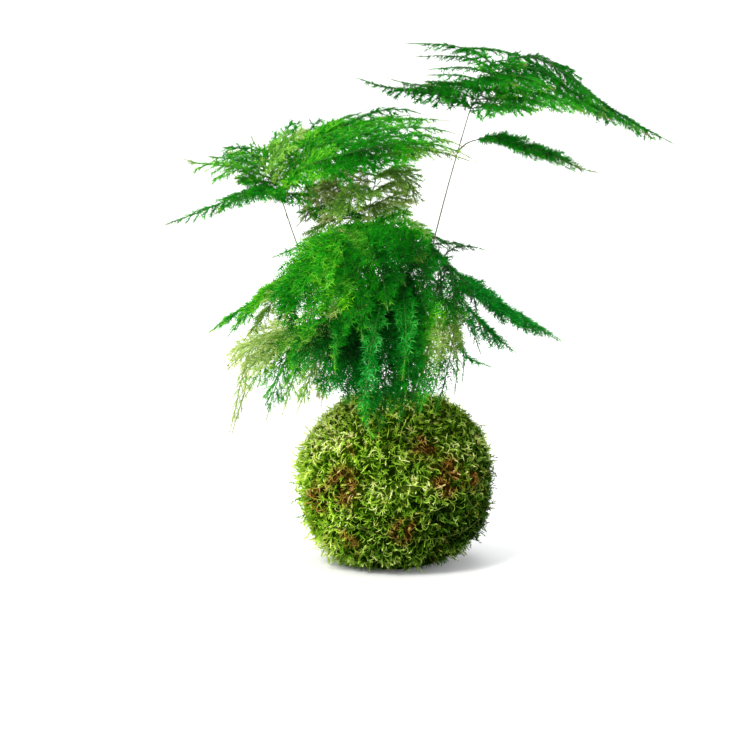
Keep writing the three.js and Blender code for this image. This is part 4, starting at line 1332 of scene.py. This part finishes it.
class Spray:
    """The middle lines of one frond's limbs, branchlets and twigs, with numbers at every point."""

    def __init__(self):
        self.points = []
        self.edges = []
        self.numbers = {key: [] for key in ("radius", "needles", "tint", "warmth", "brown", "limb")}

    def add(self, line, **numbers):
        first = len(self.points)
        self.points.extend(line.tolist())
        self.edges.extend((first + i, first + i + 1) for i in range(len(line) - 1))
        for key, values in self.numbers.items():
            values.extend(np.broadcast_to(numbers.get(key, 0.0), len(line)).tolist())

    def paint_shade_and_light_by_place(self):
        """Change the green near each of the places, mostly as painted shade and in one as painted light, and
        darken it low on the plant as painted shade.
        """
        points = np.array(self.points)
        shares = [1 - smoothstep(np.linalg.norm(points - place, axis=1), full, gone)
                  for place, full, gone, _, _ in PLACES]
        shares.append(1 - smoothstep(points[:, 2], *LOW_HEIGHTS))
        changes = [place[3:] for place in PLACES] + [LOW_CHANGE]
        for key, by_key in zip(("tint", "warmth"), zip(*changes)):
            self.numbers[key] = np.array(self.numbers[key]) + np.array(by_key) @ np.array(shares)

    def make(self, name):
        piece = make_object(name, self.points, [], edges=self.edges)
        for key, values in self.numbers.items():
            set_attribute(piece.data, key, np.array(values) * (MM if key == "radius" else 1))
        return piece


def reach_along(share):
    """How far branchlets reach at each share of a limb, as a part of the limb's widest reach."""
    rise = min(1, 0.45 + 2.6 * share)
    fall = max(0, 1 - ((share - 0.2) / 0.72) ** 2) if share > 0.2 else 1
    return rise * fall ** 0.8


def clear_of_ball(line):
    """The part of a line that stays outside the moss."""
    away = line - BALL_CENTRE
    distance = np.linalg.norm(away, axis=1)
    outside = distance > ball_radius(away / distance[:, None]) + CLEAR_OF_MOSS
    if outside.all():
        return line
    return line[:int(np.argmin(outside))]


def bent_line(root, out, bend, reach, step):
    """A line from root to its tip that bows to one side between them."""
    t = np.linspace(0, 1, max(2, math.ceil(reach / step) + 1))
    return root + reach * (np.outer(t, out) + np.outer(t * t - t, bend))


def line_between(first, second, share, kept, parents):
    """A limb's line part of the way from one limb to another, from the nearest place on its parents."""
    t = np.linspace(0, kept, max(len(first), len(second)))
    line = (1 - share) * spline_points(first, t) + share * spline_points(second, t)
    root = nearest_on_lines(line[0], parents)
    return line + np.outer((1 - t) ** 2, root - line[0])


def grow_twigs(spray, line, reach, face, key, look):
    """Side twigs to both sides of a long branchlet, shorter toward its tip."""
    tone, warmth, droop, size = look
    count = math.floor((reach - TWIGLESS_ROOT) / TWIG_SPACING)
    for j in range(count):
        share = (j + 0.75 + stray(0.4, key, j, 3)) / (count + 0.3)
        root, forward = along_line(line, share)
        side = unit(np.cross(face, forward)) * (1 if j % 2 else -1)
        lean = TWIG_LEAN + stray(0.3, key, j, 4)
        out = unit(forward * math.cos(lean) + side * math.sin(lean)
                   + face * stray(0.7, key, j, 5) - UP * 0.5 * droop)
        length = (TWIG_SHARE * (1 - share) * reach + TWIG_SHORTEST) * (0.8 + 0.4 * draw(key, j, 6))
        twig = clear_of_ball(bent_line(root, out, (forward - out) * 0.2, length, TWIG_STEP))
        if len(twig) < 2:
            continue
        t = np.linspace(0, 1, len(twig))
        spray.add(twig, radius=TWIG_RADIUS * (1 - 0.5 * t), needles=size * (1 - 0.3 * t),
                  tint=tone + 0.16 * t + stray(0.16, key, j, 7), warmth=warmth)


def grow_limb(spray, line, count, widest, face, key, limb, look, lead):
    """A limb with branchlets to both sides, and the twigs on the longer ones."""
    tone, warmth, droop, size = look
    tone += stray(LIMB_CONTRAST, key, limb, 80)
    warmth *= 1 + stray(YELLOW_CONTRAST, key, limb, 90)
    t = np.linspace(0, 1, len(line))
    bare_tip = HIGH_BARE_TIP if line[-1][2] > BARE_TIP_HEIGHT else BARE_TIP
    spray.add(line, radius=LIMB_ROOT_RADIUS + (LIMB_TIP_RADIUS - LIMB_ROOT_RADIUS) * t,
              needles=np.where((t < lead) | (t > bare_tip), 0, size * (0.9 - 0.25 * t)),
              tint=tone - 0.15 + 0.2 * t, warmth=warmth + TIP_STRAW * smoothstep(t, 0.7, 1.0),
              brown=smoothstep(t, 2 * bare_tip - 1, 1.0), limb=1.0)
    for i in range(count):
        share = (i + 0.5 + stray(0.5, key, limb, i)) / count
        root, forward = along_line(line, share)
        side = unit(np.cross(face, forward)) * (1 if i % 2 else -1)
        lean = BRANCHLET_LEAN - 0.2 * share + stray(0.25, key + 3, limb, i)
        out = unit(forward * math.cos(lean) + side * math.sin(lean)
                   + face * 0.35 * (draw(key + 5, limb, i) - 0.4) - UP * droop)
        reach = FORWARD_REACH * widest * reach_along(share) * (0.75 + 0.5 * draw(key + 7, limb, i))
        if reach < BRANCHLET_SHORTEST:
            continue
        bend = (forward - out) * 0.3 - UP * 0.15 * draw(key, limb, i + 50)
        branchlet = clear_of_ball(bent_line(root, out, bend, reach, BRANCHLET_STEP))
        if len(branchlet) < 2:
            continue
        t = np.linspace(0, 1, len(branchlet))
        light = tone + stray(0.25, key + 9, limb, i)
        spray.add(branchlet, radius=BRANCHLET_RADIUS * (1 - 0.55 * t),
                  needles=size * (1 - 0.3 * t ** 2), tint=light + 0.22 * t - 0.05,
                  warmth=warmth + TIP_STRAW * smoothstep(share + 0.2 * t, 0.75, 1.1),
                  brown=0.6 * smoothstep(t, 0.97, 1.0))
        if reach > TWIGGED_REACH:
            grow_twigs(spray, branchlet, line_length(branchlet), face,
                       1000 * key + 60 * limb + i, (light, warmth, droop, size))


def grow_frond(frond, key, lines):
    """A frond's limbs, and the finer ones that fill it."""
    name = frond["name"]
    face = unit(np.array(frond["face"], float))
    tone, warmth, droop, fullness, size = LOOKS[name]
    main = [line for line, _ in lines]
    reaches = [reach for reach, _ in frond["limbs"]]
    limbs = [(line, length, reach, 0.0) for (line, length), reach in zip(lines, reaches)]
    for first, second, share, kept in BETWEEN.get(name, []):
        line = line_between(main[first], main[second], share, kept, main)
        reach = BETWEEN_REACH * (reaches[first] + reaches[second])
        limbs.append((line, line_length(line), reach, 0.0))
    # A limb's lift makes it lighter or darker; where lighter it is painted light
    for reach, points, *lit in EXTRA_LIMBS.get(name, []):
        route = [nearest_on_lines(np.array(points[0], float), main)] + points[1:]
        line = clear_of_ball(smooth_line(route, LIMB_STEP))
        limbs.append((line, line_length(line), reach, sum(lit)))
    spray = Spray()
    for limb, (line, length, reach, lift) in enumerate(limbs):
        grow_limb(spray, line, math.floor(length / BRANCHLET_SPACING), fullness * reach, face, key,
                  limb, (tone + lift, warmth, droop, size), FIRST_BARE_ROOT if limb == 0 else BARE_ROOT)
    # Paint shade and light into the spray's green by place
    spray.paint_shade_and_light_by_place()
    return spray


def first_route(points, stem):
    """The points of a frond's first limb, which carries straight on from its stem."""
    before, end = np.array(stem[-2], float), np.array(stem[-1], float)
    onward = unit(end - before)
    return [end, end + onward * FROND_LEAD] + [np.array(point, float) for point in points[1:]]


def limb_lines(frond, stem):
    """Every limb's middle line, and its length along the part's straight pieces."""
    lines = []
    for limb, (_, points) in enumerate(frond["limbs"]):
        if limb == 0:
            route = first_route(points, stem)
        else:
            route = [np.array(point, float) for point in points]
            earlier = [line for line, _ in lines]
            route[0] = nearest_on_lines(route[0], earlier)
            if np.linalg.norm(route[0] - earlier[0][0]) < FROND_LEAD:
                route[0] = earlier[0][0] + unit(earlier[0][1] - earlier[0][0]) * FROND_LEAD
        lines.append((smooth_line(route, LIMB_STEP), line_length(smooth_line(route, CAD_LIMB_STEP))))
    return lines


def add_stem(solid, line, key):
    """One wiry stem, with small pointed scales pressed upward along it."""
    t = np.linspace(0, 1, len(line))
    points, faces = tube(line, STEM_FOOT_RADIUS + (STEM_TOP_RADIUS - STEM_FOOT_RADIUS) * t, STEM_SIDES)
    solid.add(points, faces, scale=0.0)
    length = line_length(line)
    for step in range(1, math.floor((length - SCALE_LENGTH) / SCALE_SPACING) + 1):
        distance = step * SCALE_SPACING
        root, forward = along_line(line, distance / length)
        aside = turned(unit(np.cross(forward, UP)), forward, key + distance * GOLDEN_ANGLE)
        out = unit(forward + SCALE_LEAN * aside)
        size = SCALE_LENGTH * (1.2 if step % 2 == 0 else 0.75)
        points, faces = blade(root, out, np.cross(forward, aside), size, SCALE_HALF_WIDTH, SCALE_HALF_DEPTH)
        solid.add(points, faces, scale=1.0)


def stem_routes():
    """The points of each frond's stem, with a side stalk's foot moved on to the stem it grew on."""
    routes = {}
    for frond in PLANT:
        route = [np.array(point, float) for point in frond["stem"]]
        owner = frond.get("side_stalk_of")
        if owner:
            route[0] = nearest_on_lines(route[0], [smooth_line(routes[owner], STEM_STEP)])
        routes[frond["name"]] = route
    return routes


def make_stems(routes):
    """Every rooted stem, with its side stalk where it has one, in the part's own order."""
    material = stem_material()
    rooted = [frond["name"] for frond in PLANT if "side_stalk_of" not in frond]
    for key, name in enumerate(rooted):
        stem = Solid()
        stalks = [frond["name"] for frond in PLANT if frond.get("side_stalk_of") == name]
        for each in [name, *stalks]:
            add_stem(stem, smooth_line(routes[each], STEM_STEP), key)
        settle(stem.make(f"wiry_stem_{name}", material), "stem", f"stem_{name}")


def whorl_kinds(name, lean_out):
    """A few whorls whose needles lean out about equally far."""
    return kinds_collection(name, [make_whorl(kind, lean_out) for kind in range(WHORL_KINDS)])


def make_sprays(routes):
    """Every frond's spray, in the part's own order."""
    group = spray_tree(twig_material(), needle_material())
    pressed = whorl_kinds("pressed_whorls", PRESSED_LEAN)
    spread = whorl_kinds("spread_whorls", SPREAD_LEAN)
    for index, frond in enumerate(PLANT):
        name = frond["name"]
        piece = grow_frond(frond, index + 1, limb_lines(frond, routes[name])).make(f"spray_{name}")
        apply_tree(piece, group, {"Whorls": spread if name in SPREADING else pressed,
                                  "Whorl spacing": WHORL_SPACING * MM, "Seed": index + 1})
        settle(piece, "foliage", f"frond_{name}")
    drop_collection(pressed)
    drop_collection(spread)


# The moss ball

def lift_low_points(piece):
    """Moss that would reach under the floor is pressed flat on it."""
    mesh = piece.data
    points = np.empty(3 * len(mesh.vertices), dtype=np.float32)
    mesh.vertices.foreach_get("co", points)
    points = points.reshape(-1, 3)
    low = points[:, 2] < MM * PRESSED_HEIGHT
    above = np.clip(1 + points[low, 2] / (MM * PRESSED_DEPTH), 0, 1)
    points[low, 2] = 0.5 * MM * PRESSED_HEIGHT * (1 + above)
    mesh.vertices.foreach_set("co", points.ravel())
    mesh.update()


def make_moss():
    bed = make_bed(bed_material())
    group = shoot_tree(shoot_material())
    feathers = kinds_collection("feather_kinds", map(make_feather_shoot, range(FEATHER_KINDS)))
    tufts = kinds_collection("tuft_kinds", [*map(make_star_shoot, STAR_KINDS),
                                            *map(make_curl_shoot, CURL_KINDS)])
    for name, kinds, spacing, seed in (("feather_moss", feathers, FEATHER_SPACING, 3),
                                       ("tufted_moss", tufts, TUFT_SPACING, 8)):
        piece = bed.copy()
        piece.data = bed.data.copy()
        piece.name = name
        bpy.context.scene.collection.objects.link(piece)
        apply_tree(piece, group, {"Shoots": kinds, "Spacing": spacing * MM, "Seed": seed,
                                  "Last kind": len(kinds.objects) - 1})
        lift_low_points(piece)
        settle(piece, "moss")
        drop_collection(kinds)
    settle(bed, "moss", "moss_wrap")


# The studio

def make_floor():
    """A round pale floor that curves up into a wall, far from the ball."""
    profile = [(radius, 0.0) for radius in (0.001, 0.3, FLOOR_RADIUS / 2, FLOOR_RADIUS)]
    profile += [(FLOOR_RADIUS + WALL_BEND * math.sin(angle), WALL_BEND * (1 - math.cos(angle)))
                for angle in np.linspace(0.2, 1.57, 9)]
    profile.append((FLOOR_RADIUS + WALL_BEND, 2 * WALL_BEND))
    turn = FULL_TURN * np.arange(FLOOR_SIDES) / FLOOR_SIDES
    points = np.vstack([np.column_stack([radius * np.cos(turn), radius * np.sin(turn),
                                         np.full(FLOOR_SIDES, height)]) for radius, height in profile])
    faces = [list(range(FLOOR_SIDES))] + band_faces(len(profile), FLOOR_SIDES)
    make_object("studio_floor", points / MM, faces, stage_material(), smooth=True)


def add_light(name, place, aim, size, power, colour):
    light = bpy.data.lights.new(name, "AREA")
    light.shape = "DISK"
    light.size = size
    light.energy = power
    light.color = colour
    lamp = bpy.data.objects.new(name, light)
    lamp.location = place
    lamp.rotation_euler = (Vector(aim) - Vector(place)).to_track_quat("-Z", "Y").to_euler()
    bpy.context.scene.collection.objects.link(lamp)


def make_studio():
    scene = bpy.context.scene
    make_floor()
    for light in LIGHTS:
        add_light(*light)
    world = bpy.data.worlds.new("studio")
    scene.world = world
    world.use_nodes = True
    sky = world.node_tree.nodes["Background"].inputs
    sky["Color"].default_value = SKY_COLOUR
    sky["Strength"].default_value = SKY_STRENGTH
    scene.view_settings.view_transform = "Standard"


def add_camera():
    """A camera at the plant's front that looks a little down on it."""
    lens = bpy.data.cameras.new("camera")
    lens.sensor_width = SENSOR_WIDTH
    lens.lens = SENSOR_WIDTH * CAMERA_DISTANCE / FRAME_WIDTH
    lens.clip_start = 0.05
    camera = bpy.data.objects.new("camera", lens)
    tilt = math.radians(CAMERA_ELEVATION)
    camera.location = CAMERA_TARGET + CAMERA_DISTANCE * Vector((0, -math.cos(tilt), math.sin(tilt)))
    camera.rotation_euler = (CAMERA_TARGET - camera.location).to_track_quat("-Z", "Y").to_euler()
    bpy.context.scene.collection.objects.link(camera)
    bpy.context.scene.camera = camera


make_studio()
add_camera()
plant_routes = stem_routes()
make_stems(plant_routes)
make_sprays(plant_routes)
make_moss()
make_thread()
frame["nodes"]["soil_core"].material_slots[0].material = soil_material()
